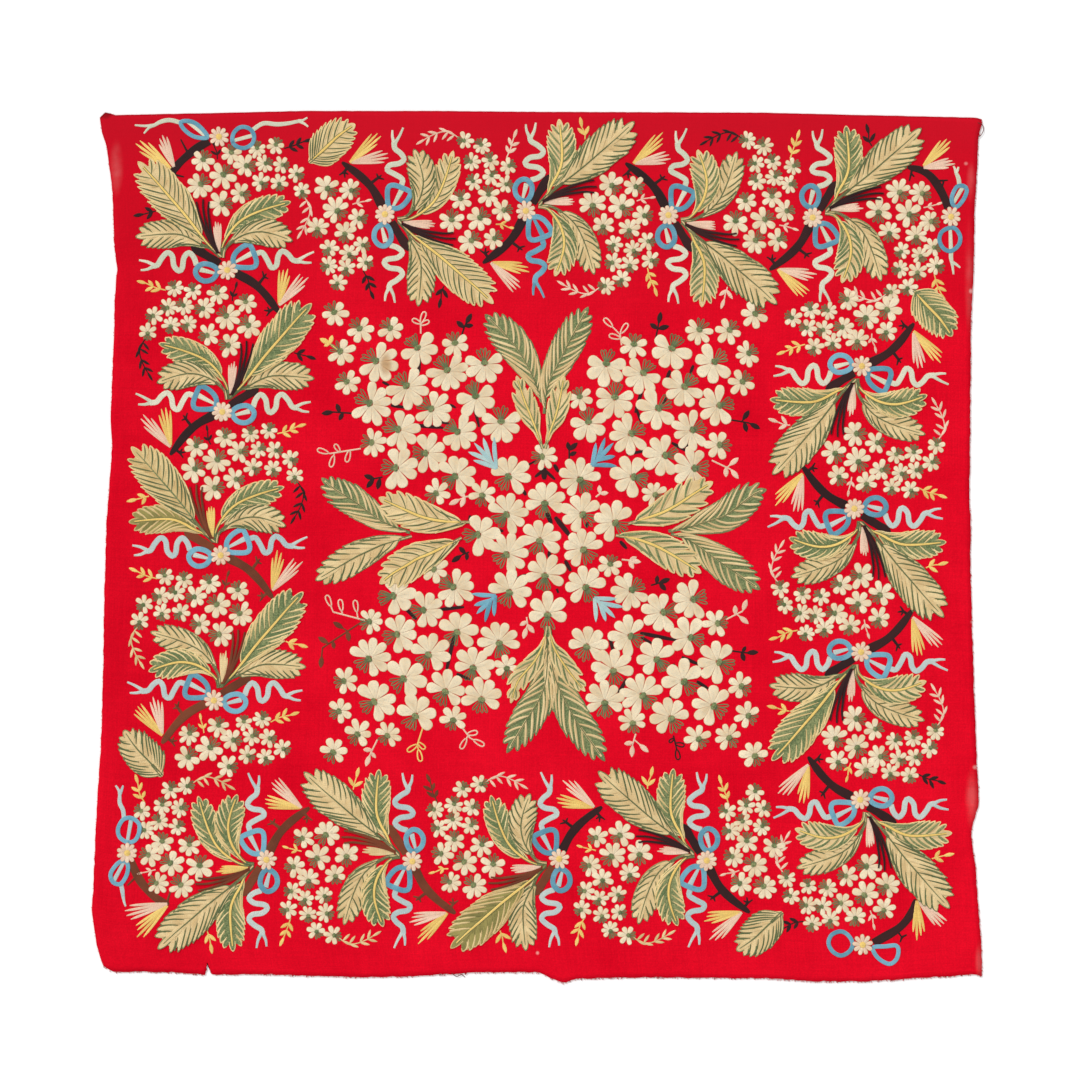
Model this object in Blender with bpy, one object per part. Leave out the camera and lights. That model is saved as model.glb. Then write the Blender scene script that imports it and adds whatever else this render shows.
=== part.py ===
"""Embroidered wrapping cloth: one square of red wool cloth, lying flat, as one closed solid.

The underside is flat. The top is a little uneven, with the creases of the lower left corner, and the
main embroidered motifs stand on it as low relief: leaves, branches, bows, ribbons, rosettes and the
large blossoms of the centre. X runs to the cloth's right, Y to its top edge and Z up. The origin is
the middle of the underside. Numbers are millimetres until the mesh is made.
"""

import math

import bpy
from mathutils import Vector
from mathutils.geometry import delaunay_2d_cdt

MM = 0.001
THICKNESS = 1.2  # felted wool cloth
CLOTH_RED = (0.64, 0.004, 0.012, 1.0)

PAD_RISE = 1.0  # leaves and blossoms, worked in rows of thick yarn
PAD_SLOPE = 1.4  # width of a pad's sloping edge
STROKE_RISE = 0.9
CREASE_RISE = 0.5
HEM_RISE = 0.4
HEM_WIDTH = 4.0
MIDDLE = (-4, -6)  # middle of the edge's extent below, which the mesh puts at the origin

BRANCH_WIDTH = 8.0
RIBBON_WIDTH = 6.0
BOW_LINE_WIDTH = 6.0
ROSETTE_RADIUS = 11.5
SMALL_BLOSSOM_RADIUS = 15.5
LARGE_BLOSSOM_RADIUS = 22.0
PETALS = 5
PETAL_NOTCH = 0.84  # how far the notch between two petals is drawn in

PLAIN_STEP = 70.0  # spacing of the points on the bare cloth
UNDERSIDE_STEP = 170.0

# The cloth's edge, (x, y), clockwise from the top left corner. The corners and the bottom are uneven.
TOP_EDGE = (
    (-528, 509), (-521, 516), (-509, 512), (-467, 513), (-370, 515), (-288, 517), (-127, 517),
    (0, 516), (264, 515), (392, 512), (523, 509), (530, 507),
)
RIGHT_EDGE = (
    (530, 502), (526, 485), (524, 442), (521, 392), (520, 328), (517, 264), (516, 131), (515, 46),
    (517, 26), (516, -17), (519, -124), (521, -188), (524, -265), (526, -292), (526, -317), (521, -332),
    (517, -349), (522, -388), (527, -452), (530, -494), (530, -521),
)
BOTTOM_EDGE = (
    (521, -518), (499, -520), (457, -523), (392, -527), (329, -527), (264, -523), (128, -522),
    (43, -524), (29, -529), (13, -523), (1, -516), (-73, -516), (-160, -521), (-223, -522),
    (-288, -520), (-337, -518), (-396, -519), (-392, -505), (-399, -519), (-445, -516), (-514, -516),
)
LEFT_EDGE = (
    (-524, -508), (-532, -484), (-538, -443), (-536, -420), (-532, -323), (-527, -250), (-524, -157),
    (-523, -82), (-520, 25), (-513, 118), (-515, 150), (-511, 253), (-510, 296), (-507, 328),
    (-511, 358), (-513, 422), (-520, 474), (-526, 493),
)

# The border is one strip of five bound sprays, turned a quarter for each side. A side has its turn in
# degrees and the places (x, y) of its five rosettes. Along a side, s runs clockwise and t outward.
SIDES = (
    ("top", 0, ((-186, 393), (-17, 397), (154, 392), (327, 389), (493, 390))),
    ("right", -90, ((386, 211), (377, 40), (385, -132), (384, -309), (387, -483))),
    ("bottom", -180, ((200, -382), (23, -380), (-153, -383), (-328, -381), (-495, -373))),
    ("left", -270, ((-391, -190), (-383, -16), (-381, 156), (-375, 326), (-385, 486))),
)

# One spray, from its rosette at (0, 0). Every second spray of a side is mirrored in t.
# Leaves: base (s, t), tip (s, t), width.
SPRAY_LEAVES = (
    ((16, -6), (34, 78), 32),
    ((20, -7), (82, 76), 28),
    ((26, -16), (130, -108), 41),
    ((28, -24), (40, -112), 32),
)
LONE_LEAF = ((-90, 60), (-35, 108), 41)  # at the start of each side, from its first rosette

# Strokes: kind, width, closed or open, points (s, t).
SPRAY_STROKES = (
    ("branch in", BRANCH_WIDTH, False, ((-51, 62), (-29, 45), (-14, 30), (-3, 12))),
    ("branch out", BRANCH_WIDTH, False, ((9, -11), (29, -43))),
    ("outer loop", BOW_LINE_WIDTH, True, ((3, 11), (10, 33), (29, 27), (28, 9))),
    ("inner loop", BOW_LINE_WIDTH, True, ((-3, -12), (-13, -24), (-5, -39), (7, -26))),
    ("outer ribbon", RIBBON_WIDTH, False, ((21, 36), (4, 54), (23, 64), (11, 80), (12, 100))),
    ("inner ribbon", RIBBON_WIDTH, False, ((7, -37), (21, -45), (-1, -55), (21, -67), (5, -81), (3, -103))),
)

# The short last spray of each side, at the cloth's corner. Strokes as above, but (x, y) on the cloth.
CORNER_STROKES = (
    ("top branch", BRANCH_WIDTH, False, ((443, 449), (463, 441), (479, 422), (489, 401))),
    ("top loop", BOW_LINE_WIDTH, True, ((496, 400), (498, 424), (508, 428), (509, 407))),
    ("top low loop", BOW_LINE_WIDTH, True, ((492, 374), (482, 362), (492, 351), (503, 362))),
    ("right branch", BRANCH_WIDTH, False, ((450, -428), (446, -443), (431, -462), (403, -480))),
    ("right loop", BOW_LINE_WIDTH, True, ((375, -481), (361, -469), (348, -481), (361, -493))),
    ("right low loop", BOW_LINE_WIDTH, True, ((398, -487), (420, -482), (430, -498), (408, -503))),
    ("bottom branch", BRANCH_WIDTH, False, ((-445, -434), (-462, -426), (-479, -407), (-491, -385))),
    ("bottom loop", BOW_LINE_WIDTH, True, ((-495, -357), (-505, -343), (-493, -331), (-482, -343))),
    ("bottom low loop", BOW_LINE_WIDTH, True, ((-498, -384), (-511, -391), (-508, -406), (-496, -399))),
    ("left branch", BRANCH_WIDTH, False, ((-440, 437), (-437, 452), (-420, 465), (-397, 480))),
    ("left loop", BOW_LINE_WIDTH, True, ((-398, 489), (-422, 493), (-446, 503), (-420, 508))),
    ("left right loop", BOW_LINE_WIDTH, True, ((-371, 486), (-356, 500), (-342, 486), (-356, 471))),
    ("left ribbon", RIBBON_WIDTH, False, ((-343, 497), (-312, 505), (-277, 498))),
    ("left far ribbon", RIBBON_WIDTH, False, ((-446, 497), (-463, 489), (-470, 501), (-488, 498))),
)

# The centre. Its four quarters are mirror images about this point.
CENTRE = (4, 14)
# Blossoms of a quarter, (x, y) from the centre.
SMALL_BLOSSOMS = (
    (253, 264), (222, 244), (187, 245), (245, 216), (109, 226), (238, 181), (209, 108),
)
LARGE_BLOSSOMS = (
    (154, 221), (203, 205), (118, 193), (74, 202), (168, 176), (85, 163), (137, 149),
    (210, 154), (54, 133), (104, 121), (176, 124), (143, 95), (179, 78), (107, 68),
)
# The bunch in the middle, (x, y) from the centre.
CORE_BLOSSOMS = (
    (-41, 66), (43, 62), (2, 34), (-43, 20), (46, 20), (85, 10), (-77, -5), (-4, -11),
    (-43, -28), (47, -22), (2, -53), (-40, -73), (50, -67), (5, -100),
)
# Leaves along the cloth's axes: base (x, y), tip (x, y), width.
CENTRE_LEAVES = (
    ((0, 170), (-66, 273), 41), ((2, 170), (61, 282), 36),
    ((4, 112), (-31, 198), 24), ((2, 110), (29, 199), 22),
    ((8, -102), (-36, -190), 22), ((11, -102), (55, -179), 24),
    ((6, -190), (-41, -254), 30), ((14, -190), (79, -264), 32),
    ((-166, 14), (-263, 77), 36), ((-160, 6), (-264, -46), 34),
    ((-86, 25), (-193, 53), 38), ((-94, 7), (-194, -52), 41),
    ((107, 23), (206, 72), 36), ((166, 14), (274, 62), 36),
    ((92, 7), (193, -35), 34), ((170, 7), (264, -58), 38),
)

# A leaf's half width along its length: (share of the length, share of the half width).
LEAF_PROFILE = ((0.18, 0.4), (0.55, 1.0), (0.85, 0.68))

# Creases that fan out of the lower left corner: two ends (x, y) and the width of the ridge.
CREASES = (
    ((-531, -448), (-462, -452), 9.0),
    ((-520, -468), (-452, -506), 8.0),
    ((-507, -500), (-470, -478), 7.0),
)
# The cloth's slow unevenness: rise, wavelength in x and in y, phase in turns.
WAVES = (
    (0.18, 620.0, 900.0, 0.10),
    (0.12, -310.0, 420.0, 0.45),
    (0.08, 190.0, -260.0, 0.80),
)


class Relief:
    """Points of the top face with how far each rises over the cloth, and the lines that join them."""

    def __init__(self):
        self.points = []
        self.rises = []
        self.lines = []
        self.discs = []

    def add_line(self, points, rise, closed=False):
        first = len(self.points)
        self.points += points
        self.rises += [rise] * len(points)
        ends = range(first, len(self.points) - 1)
        self.lines += [(i, i + 1) for i in ends]
        if closed:
            self.lines.append((len(self.points) - 1, first))

    def add_point(self, point, rise):
        self.points.append(point)
        self.rises.append(rise)

    def add_pad(self, outer, inner, rise):
        """A flat-topped pad between its foot and the edge of its top."""
        self.add_line(outer, 0.0, closed=True)
        self.add_line(inner, rise, closed=True)
        self.cover(outer)

    def cover(self, points, margin=6.0):
        """Keeps plain points off the circle round these points."""
        x = sum(p[0] for p in points) / len(points)
        y = sum(p[1] for p in points) / len(points)
        reach = max(math.hypot(p[0] - x, p[1] - y) for p in points)
        self.discs.append((x, y, reach + margin))

    def is_free(self, x, y):
        return all(math.hypot(x - cx, y - cy) > reach for cx, cy, reach in self.discs)


def turned(point, degrees, mirrored, place):
    """A point (s, t) of a spray as (x, y) on the cloth."""
    s, t = point
    if mirrored:
        t = -t
    angle = math.radians(degrees)
    x = s * math.cos(angle) - t * math.sin(angle)
    y = s * math.sin(angle) + t * math.cos(angle)
    return (place[0] + x, place[1] + y)


def leaf_outline(base, tip, width, inset):
    """The leaf's outline, moved inwards by the inset."""
    length = math.dist(base, tip)
    along = ((tip[0] - base[0]) / length, (tip[1] - base[1]) / length)
    across = (-along[1], along[0])

    def place(u, v):
        return (base[0] + along[0] * u + across[0] * v, base[1] + along[1] * u + across[1] * v)

    sides = [(share * length, half * width / 2 - inset) for share, half in LEAF_PROFILE]
    left = [place(u, v) for u, v in sides]
    right = [place(u, -v) for u, v in reversed(sides)]
    return [place(inset, 0.0), *left, place(length - 2 * inset, 0.0), *right]


def add_leaf(relief, base, tip, width):
    outer = leaf_outline(base, tip, width, 0.0)
    inner = leaf_outline(base, tip, width, PAD_SLOPE)
    relief.add_pad(outer, inner, PAD_RISE)


def add_stroke(relief, width, closed, path):
    """A couched line, branch or ribbon: a ridge along the path, level with the cloth at both edges."""
    count = len(path)
    edges = ([], [])
    for i, (x, y) in enumerate(path):
        before = path[i - 1] if closed or i else path[i]
        after = path[(i + 1) % count] if closed or i + 1 < count else path[i]
        length = math.dist(before, after)
        across = ((before[1] - after[1]) / length, (after[0] - before[0]) / length)
        for edge, side in zip(edges, (width / 2, -width / 2)):
            edge.append((x + across[0] * side, y + across[1] * side))
    relief.add_line(list(path), STROKE_RISE, closed)
    if closed:
        for edge in edges:
            relief.add_line(edge, 0.0, closed=True)
    else:
        relief.add_line(edges[0] + edges[1][::-1], 0.0, closed=True)
    relief.cover(path)


def star(centre, radius, depth, sides, turn, inset):
    """A ring of points about the centre. Every second one is drawn in to this share of the radius."""
    ring = []
    for i in range(sides):
        reach = radius * (depth if i % 2 else 1.0) - inset
        angle = turn + math.tau * i / sides
        ring.append((centre[0] + reach * math.cos(angle), centre[1] + reach * math.sin(angle)))
    return ring


def add_rosette(relief, centre):
    ring = star(centre, ROSETTE_RADIUS, 1.0, 6, 0.0, 0.0)
    relief.add_pad(ring, star(centre, ROSETTE_RADIUS, 1.0, 6, 0.0, PAD_SLOPE), PAD_RISE)


def add_large_blossom(relief, centre, heading):
    """A blossom of five petals, the first towards the heading, level between its petals' tips."""
    outer = star(centre, LARGE_BLOSSOM_RADIUS, PETAL_NOTCH, 2 * PETALS, heading, 0.0)
    inner = star(centre, LARGE_BLOSSOM_RADIUS, 1.0, PETALS, heading, PAD_SLOPE)
    relief.add_pad(outer, inner, PAD_RISE)


def add_small_blossom(relief, centre, heading):
    outer = star(centre, SMALL_BLOSSOM_RADIUS, 1.0, PETALS, heading, 0.0)
    inner = star(centre, SMALL_BLOSSOM_RADIUS, 1.0, PETALS, heading, PAD_SLOPE)
    relief.add_pad(outer, inner, PAD_RISE)


def add_border(relief):
    for _side, degrees, rosettes in SIDES:
        base, tip, width = LONE_LEAF
        lone = [turned(p, degrees, False, rosettes[0]) for p in (base, tip)]
        add_leaf(relief, lone[0], lone[1], width)
        for number, place in enumerate(rosettes):
            add_rosette(relief, place)
            if place == rosettes[-1]:
                continue
            mirrored = number % 2 == 1
            for base, tip, width in SPRAY_LEAVES:
                ends = [turned(p, degrees, mirrored, place) for p in (base, tip)]
                add_leaf(relief, ends[0], ends[1], width)
            for _kind, width, closed, path in SPRAY_STROKES:
                add_stroke(relief, width, closed, [turned(p, degrees, mirrored, place) for p in path])
    for _kind, width, closed, path in CORNER_STROKES:
        add_stroke(relief, width, closed, path)


def add_centre(relief):
    cx, cy = CENTRE
    for side_x, side_y in ((1, 1), (1, -1), (-1, 1), (-1, -1)):
        for x, y in LARGE_BLOSSOMS:
            heading = math.atan2(side_y * y, side_x * x)
            add_large_blossom(relief, (cx + side_x * x, cy + side_y * y), heading)
        for x, y in SMALL_BLOSSOMS:
            heading = math.atan2(side_y * y, side_x * x)
            add_small_blossom(relief, (cx + side_x * x, cy + side_y * y), heading)
    for x, y in CORE_BLOSSOMS:
        add_large_blossom(relief, (cx + x, cy + y), math.radians(-90))
    for base, tip, width in CENTRE_LEAVES:
        add_leaf(relief, base, tip, width)


def add_creases(relief):
    for start, end, width in CREASES:
        middle = ((start[0] + end[0]) / 2, (start[1] + end[1]) / 2)
        length = math.dist(start, end)
        side = ((end[1] - start[1]) / length * width / 2, (start[0] - end[0]) / length * width / 2)
        edge = [start, (middle[0] + side[0], middle[1] + side[1]), end]
        edge.append((middle[0] - side[0], middle[1] - side[1]))
        relief.add_line(edge, 0.0, closed=True)
        relief.add_point(middle, CREASE_RISE)
        relief.cover(edge)


def add_hem(relief):
    """The narrow turned hem along the top edge."""
    inner = [(x, y - HEM_WIDTH) for x, y in TOP_EDGE[2:-1]]
    relief.add_line(inner, HEM_RISE)
    relief.add_line([(x, y - 1.5) for x, y in inner], 0.0)


def grid(step, outline):
    """Points of a square grid that lie inside the cloth, a third of a step from its edge."""
    low_x = min(p[0] for p in outline) + step / 3
    high_x = max(p[0] for p in outline) - step / 3
    low_y = min(p[1] for p in outline) + step / 3
    high_y = max(p[1] for p in outline) - step / 3
    columns = round((high_x - low_x) / step)
    rows = round((high_y - low_y) / step)
    for i in range(columns + 1):
        for j in range(rows + 1):
            yield low_x + (high_x - low_x) * i / columns, low_y + (high_y - low_y) * j / rows


def unevenness(x, y):
    """How far the bare cloth's top stands over its thinnest level."""
    rise = 0.0
    for height, wave_x, wave_y, phase in WAVES:
        rise += height * (1 + math.sin(math.tau * (x / wave_x + y / wave_y + phase))) / 2
    return rise


def triangulated(points, lines):
    """Triangles between these points that keep the lines, with the input points behind each vertex."""
    vectors = [Vector(p) for p in points]
    inside_lines = 1
    made = delaunay_2d_cdt(vectors, lines, [], inside_lines, 0.02)
    return made[0], made[2], made[3]


def build_cloth():
    outline = [*TOP_EDGE, *RIGHT_EDGE, *BOTTOM_EDGE, *LEFT_EDGE]
    edge_count = len(outline)

    relief = Relief()
    relief.add_line(list(outline), 0.0, closed=True)
    add_border(relief)
    add_centre(relief)
    add_creases(relief)
    add_hem(relief)
    for x, y in grid(PLAIN_STEP, outline):
        if relief.is_free(x, y):
            relief.add_point((x, y), 0.0)

    under = Relief()
    under.add_line(list(outline), 0.0, closed=True)
    for x, y in grid(UNDERSIDE_STEP, outline):
        under.add_point((x, y), 0.0)

    vertices = []
    faces = []
    rings = []
    for layer, is_top in ((relief, True), (under, False)):
        places, triangles, sources = triangulated(layer.points, layer.lines)
        first = len(vertices)
        ring = [None] * edge_count
        for index, (place, source) in enumerate(zip(places, sources)):
            rise = max((layer.rises[i] for i in source), default=STROKE_RISE / 2)
            on_edge = [i for i in source if i < edge_count]
            for i in on_edge:
                ring[i] = first + index
            z = 0.0
            if is_top:
                z = THICKNESS + unevenness(place[0], place[1]) + (0.0 if on_edge else rise)
            x, y = place[0] - MIDDLE[0], place[1] - MIDDLE[1]
            vertices.append((x * MM, y * MM, z * MM))
        for triangle in triangles:
            corners = [first + i for i in triangle]
            faces.append(corners if is_top else corners[::-1])
        rings.append(ring)

    top_ring, under_ring = rings
    for i in range(edge_count):
        j = (i + 1) % edge_count
        faces.append((top_ring[i], top_ring[j], under_ring[j], under_ring[i]))

    mesh = bpy.data.meshes.new("wrapping_cloth")
    mesh.from_pydata(vertices, [], faces)
    mesh.validate()
    mesh.update()
    cloth = bpy.data.objects.new("wrapping_cloth", mesh)
    bpy.context.scene.collection.objects.link(cloth)
    return cloth


def wool_material():
    material = bpy.data.materials.new("red_wool")
    material.use_nodes = True
    shader = material.node_tree.nodes["Principled BSDF"]
    shader.inputs["Base Color"].default_value = CLOTH_RED
    shader.inputs["Roughness"].default_value = 0.9
    shader.inputs["Metallic"].default_value = 0.0
    return material


def main():
    for old in list(bpy.data.objects):
        bpy.data.objects.remove(old)
    cloth = build_cloth()
    cloth.data.materials.append(wool_material())


main()
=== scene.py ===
"""Looks of the embroidered wrapping cloth: its red wool, its chain-stitch embroidery and the stage.

Sizes and places are millimetres on the cloth, X to its right and Y to its top edge, as in the part's
source. They become metres when a mesh is made. The embroidery is real stitched rows: each row is a low
ridge of yarn that follows a path, and a filled shape is a pad of such rows.
"""

import math
import random

import bpy
import numpy as np
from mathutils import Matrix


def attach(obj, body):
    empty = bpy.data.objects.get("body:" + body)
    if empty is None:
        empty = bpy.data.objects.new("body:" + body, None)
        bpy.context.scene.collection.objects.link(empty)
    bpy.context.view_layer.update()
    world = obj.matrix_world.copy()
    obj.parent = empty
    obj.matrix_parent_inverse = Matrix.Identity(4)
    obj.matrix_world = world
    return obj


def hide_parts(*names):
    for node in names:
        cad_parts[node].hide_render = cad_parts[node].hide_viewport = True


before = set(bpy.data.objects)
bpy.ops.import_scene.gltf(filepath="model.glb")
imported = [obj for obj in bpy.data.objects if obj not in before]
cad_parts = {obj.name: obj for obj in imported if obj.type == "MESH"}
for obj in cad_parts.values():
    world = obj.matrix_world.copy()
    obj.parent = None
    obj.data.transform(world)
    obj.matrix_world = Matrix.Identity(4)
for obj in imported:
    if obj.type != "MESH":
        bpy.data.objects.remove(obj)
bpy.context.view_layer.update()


MM = 0.001
NODE = "wrapping_cloth"
MIDDLE = (-4, -6)  # the point of the tables' frame that lies at the origin
THICKNESS = 1.2
EDGE_STEP = 6.2  # spacing of the cloth's own mesh
SEED = 7

# ---------------------------------------------------------------- the cloth's edge and unevenness

TOP_EDGE = (
    (-528, 509), (-521, 516), (-509, 512), (-467, 513), (-370, 515), (-288, 517), (-127, 517),
    (0, 516), (264, 515), (392, 512), (523, 509), (530, 507),
)
RIGHT_EDGE = (
    (530, 507), (530, 502), (526, 485), (524, 442), (521, 392), (520, 328), (517, 264), (516, 131),
    (515, 46), (517, 26), (516, -17), (519, -124), (521, -188), (524, -265), (526, -292), (526, -317),
    (521, -332), (517, -349), (522, -388), (527, -452), (530, -494), (530, -521),
)
BOTTOM_EDGE = (
    (-524, -508), (-514, -516), (-487, -515), (-445, -516), (-402, -519), (-399, -505), (-394, -519),
    (-337, -518), (-288, -520), (-223, -522), (-160, -521), (-106, -518), (-73, -516), (1, -516),
    (13, -523), (29, -529), (43, -524), (128, -522), (215, -523), (264, -523), (329, -527),
    (392, -527), (457, -523), (499, -520), (521, -518), (530, -521),
)
LEFT_EDGE = (
    (-528, 509), (-526, 493), (-520, 474), (-513, 422), (-511, 358), (-507, 328), (-510, 296),
    (-511, 253), (-515, 150), (-513, 118), (-520, 25), (-523, -82), (-524, -157), (-527, -250),
    (-532, -323), (-536, -420), (-538, -443), (-532, -484), (-524, -508),
)
# Slow unevenness: rise, wavelength in x and in y, phase in turns.
WAVES = (
    (0.18, 620.0, 900.0, 0.10),
    (0.12, -310.0, 420.0, 0.45),
    (0.08, 190.0, -260.0, 0.80),
)
# Creases: two ends (x, y), rise and width.
CREASES = (
    ((-531, -448), (-462, -452), 0.5, 9.0),
    ((-520, -468), (-452, -506), 0.5, 8.0),
    ((-507, -500), (-470, -478), 0.5, 7.0),
)

# Worn pale places by the edges: middle (x, y), reach in x and in y, strength.
WORN = (
    (-508, 449, 7.0, 27.0, 0.14), (517, 431, 5.0, 20.0, 0.12), (515, 316, 5.0, 60.0, 0.08),
    (518, -308, 7.0, 30.0, 0.12), (527, -503, 4.5, 20.0, 0.12), (522, -270, 3.0, 2.6, 0.95),
    (519, -96, 2.6, 2.2, 0.95), (517, 301, 2.4, 3.0, 0.95), (511, 454, 2.4, 2.2, 0.35),
    (-3, -493, 2.0, 2.2, 0.8),
)
WEAVE_ACROSS = 1040.0  # extent of the weave's own coordinates
WEAVE_UP = 1030.0
THREADS = 0.9  # spacing of the weave's threads
NICK = (-402, -399, -394)  # x of the nick in the lower edge
RAGGED = {"top": 0.15, "low": 0.7, "left": 0.4, "right": 0.5}  # how uneven each edge's threads are
EDGE_ROWS = 3  # rows of the mesh over which the true edge fades into the even weave
# Loose threads of the raw edges: the edge, the threads on it, their longest length, the way out.
FRAYED = (
    (BOTTOM_EDGE, 520, 2.6, (0, -1)),
    (RIGHT_EDGE, 240, 1.6, (1, 0)),
    (LEFT_EDGE, 160, 1.2, (-1, 0)),
)
LOOSE_THREADS = (
    ((525, 503), (531, 500), (532, 494), (529, 488), (526, 486)),
    ((-106, -517), (-100, -521), (-94, -519), (-90, -522)),
)

# ---------------------------------------------------------------- the border

# The border is one strip of bound sprays, turned a quarter for each side. A side has its turn in
# degrees, the places (x, y) of its rosettes, of which the last one is the corner's, the kind of its lone
# leaf, and the yarns of the last and the tiny sprig of its first bunch. Along a side, s runs clockwise
# and t outward.
SIDES = (
    ("top", 0, ((-186, 393), (-17, 397), (154, 392), (327, 389), (493, 390)),
     ("cream", "black", "pink")),
    ("right", -90, ((386, 211), (377, 40), (385, -132), (384, -309), (387, -483)),
     ("green", "yellow", "pink")),
    ("bottom", -180, ((200, -382), (23, -380), (-153, -383), (-328, -381), (-495, -373)),
     ("lined", "yellow", "pink")),
    ("left", -270, ((-391, -190), (-383, -16), (-381, 156), (-375, 326), (-385, 486)),
     ("lined", "yellow", "yellow")),
)
START_OF_SIDE = (-172, 0)  # place (s, t) of a side's first bunch, from its first rosette
# Blossoms of a spray: (s, t) from its rosette, size, heading of the stamens in degrees from s to t.
SPRAY_BLOSSOMS = (
    (80, -8, "large", 90), (103, -32, "large", 45), (114, -5, "large", 40), (131, -29, "middle", 25),
    (92, 17, "middle", 100), (125, 22, "middle", 95), (106, 40, "small", 130), (104, 62, "small", 165),
    (128, 46, "small", 60), (126, 65, "small", 100), (115, 83, "small", 120), (95, 89, "small", 175),
    (141, 5, "middle", 10), (145, 36, "small", 5), (149, 58, "small", 25),
)
NOT_AT_START = (0, 11)  # blossoms that the first bunch of a side lacks
# Leaves of a spray: points (s, t) along the vein, width and fingers a side.
SPRAY_LEAVES = (
    (((15, -5), (27, -2), (41, 17), (46, 37), (43, 56), (35, 78)), 34, 8),
    (((15, -6), (29, -6), (48, 5), (62, 20), (73, 45), (82, 76)), 31, 8),
    (((16, -7), (30, -22), (45, -34), (68, -52), (90, -71), (112, -90), (130, -107)), 46, 11),
    (((16, -9), (26, -20), (31, -32), (37, -42), (43, -58), (43, -80), (40, -110)), 35, 9),
)
LONE_LEAF = (((-91, 62), (-74, 77), (-56, 94), (-36, 108)), 44, 9)
# Widths of blossoms, in the border and in the centre.
SIZE_ACROSS = {
    "large": 34.0, "middle": 29.0, "small": 24.0,
    "quarter small": 35.0, "quarter large": 50.0, "odd": 34.0, "core": 51.0,
}

# Each spray's kinds of leaf, for leaves 1 to 4, and its yarns: of the long and the last sprig of its
# bunch, the sprig between leaves 3 and 4, the tiny sprig of the bunch, and the small bract.
SPRAY_YARNS = {
    "top": (
        ("lined", "cream", "cream", "lined", "pink", "pink", "black", "yellow", "pink"),
        ("mixed", "lined", "lined", "mixed", "pink", "yellow", "yellow", "pink", "pink"),
        ("mixed", "lined", "lined", "mixed", "black", "yellow", "pink", "pink", "pink"),
        ("mixed", "lined", "lined", "green", "pink", "yellow", "black", "pink", "pink"),
    ),
    "right": (
        ("green", "lined", "lined", "green", "pink", "yellow", "pink", "pink", "pink"),
        ("green", "lined", "lined", "green", "pink", "yellow", "yellow", "pink", "pink"),
        ("mixed", "lined", "green", "lined", "pink", "black", "yellow", "yellow", "pink"),
        ("mixed", "lined", "lined", "mixed", "pink", "black", "yellow", "pink", "pink"),
    ),
    "bottom": (
        ("green", "lined", "lined", "green", "cream", "yellow", "yellow", "yellow", "pink"),
        ("lined", "green", "olive", "lined", "pink", "brown", "yellow", "yellow", "pink"),
        ("green", "lined", "lined", "green", "cream", "yellow", "yellow", "yellow", "cream"),
        ("green", "green", "lined", "green", "cream", "yellow", "yellow", "pink", "yellow"),
    ),
    "left": (
        ("green", "lined", "green", "lined", "cream", "yellow", "yellow", "brown", "cream"),
        ("lined", "green", "tan", "olive", "black", "yellow", "yellow", "black", "yellow"),
        ("lined", "green", "green", "lined", "black", "yellow", "black", "black", "pink"),
        ("lined", "green", "cream", "lined", "pink", "black", "black", "black", "pink"),
    ),
}
BLUE_RIBBON = ("top", 1)  # the spray whose outer ribbon is in the bow's own yarn
# Ribbons that are pale and warm. All others are greyer.
WARM_RIBBONS = (
    ("top", 0), ("top", 1), ("top", 2), ("top", 3), ("right", 0), ("left", 2), ("left", 3),
    ("top", "corner"), ("left", "corner"),
)
# Sprays (side, number) whose branch in or branch out is brown and not black.
BROWN_IN = (("bottom", 2), ("bottom", 3), ("left", 0), ("left", 1))
BROWN_OUT = (("bottom", 1), ("bottom", 2), ("bottom", 3), ("left", 0), ("left", 1))
# Sprays whose outer bract is pink and the one nearer the side's line yellow, and not the reverse.
PINK_OUTSIDE = (
    ("top", 1), ("right", 2), ("right", 3), ("bottom", 0), ("bottom", 1), ("bottom", 3), ("left", 1),
    ("left", 2), ("left", 3),
)

BRANCH_IN = ((-51.5, 62.5), (-29, 45.5), (-14.5, 30), (-3.5, 10))
BRANCH_OUT = ((29, -43), (17, -24), (8, -9))
# Widths of the branches at their two ends.
IN_WIDTHS, OUT_WIDTHS, CORNER_WIDTHS = (8.5, 11.0), (11.5, 9.0), (9.0, 10.5)
STEMS = (
    ((20, -12), (34, -20.5), (48, -27), (62, -32), (72, -35), (82, -37)),
    ((20, -11), (34, -18.5), (48, -23.5), (62, -27), (74, -29), (85, -29)),
    ((20, -10), (34, -16), (48, -20), (62, -22), (72, -23), (82, -22)),
)
STEM_WIDTHS = ((0, 0.25, 0.5, 1), (1.4, 2.7, 3.1, 1.8))  # at shares of the length
SPRAY_BRACTS = (  # name, base and tip, degrees between its fingers, width of a finger
    ("outer", (-42, 62), (-4, 98), 6.2, 3.0),
    ("inner", (-40, 62), (7, 71), 6.8, 3.1),
    ("small", (22, -10), (62, -13), 5.0, 3.1),
)
SPRAY_SPRIGS = {  # base and tip, pairs of leaflets, length of a leaflet
    "last": ((146, 68), (157, 99), 2, 12.0),
    "tiny": ((133, -12), (154, -17), 1, 9.0),
    "between": ((71, -86), (65, -109), 1, 13.0),
}
LONG_SPRIG = ((88, 92), (79, 98), (69, 99), (57, 95), (48, 90))
OUTER_LOOP = ((5, 9), (3, 21), (4, 32), (10, 35), (20, 32), (30, 27), (29, 20), (22, 11), (14, 7))
INNER_LOOP = (
    (-3, -12), (-11, -18), (-13, -28), (-8, -36), (0, -38), (7, -31), (7, -22), (3, -14),
)
LOOP_STRIPS = (((9, 8), (20, 29)), ((-4, -14), (1, -33)))
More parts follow.
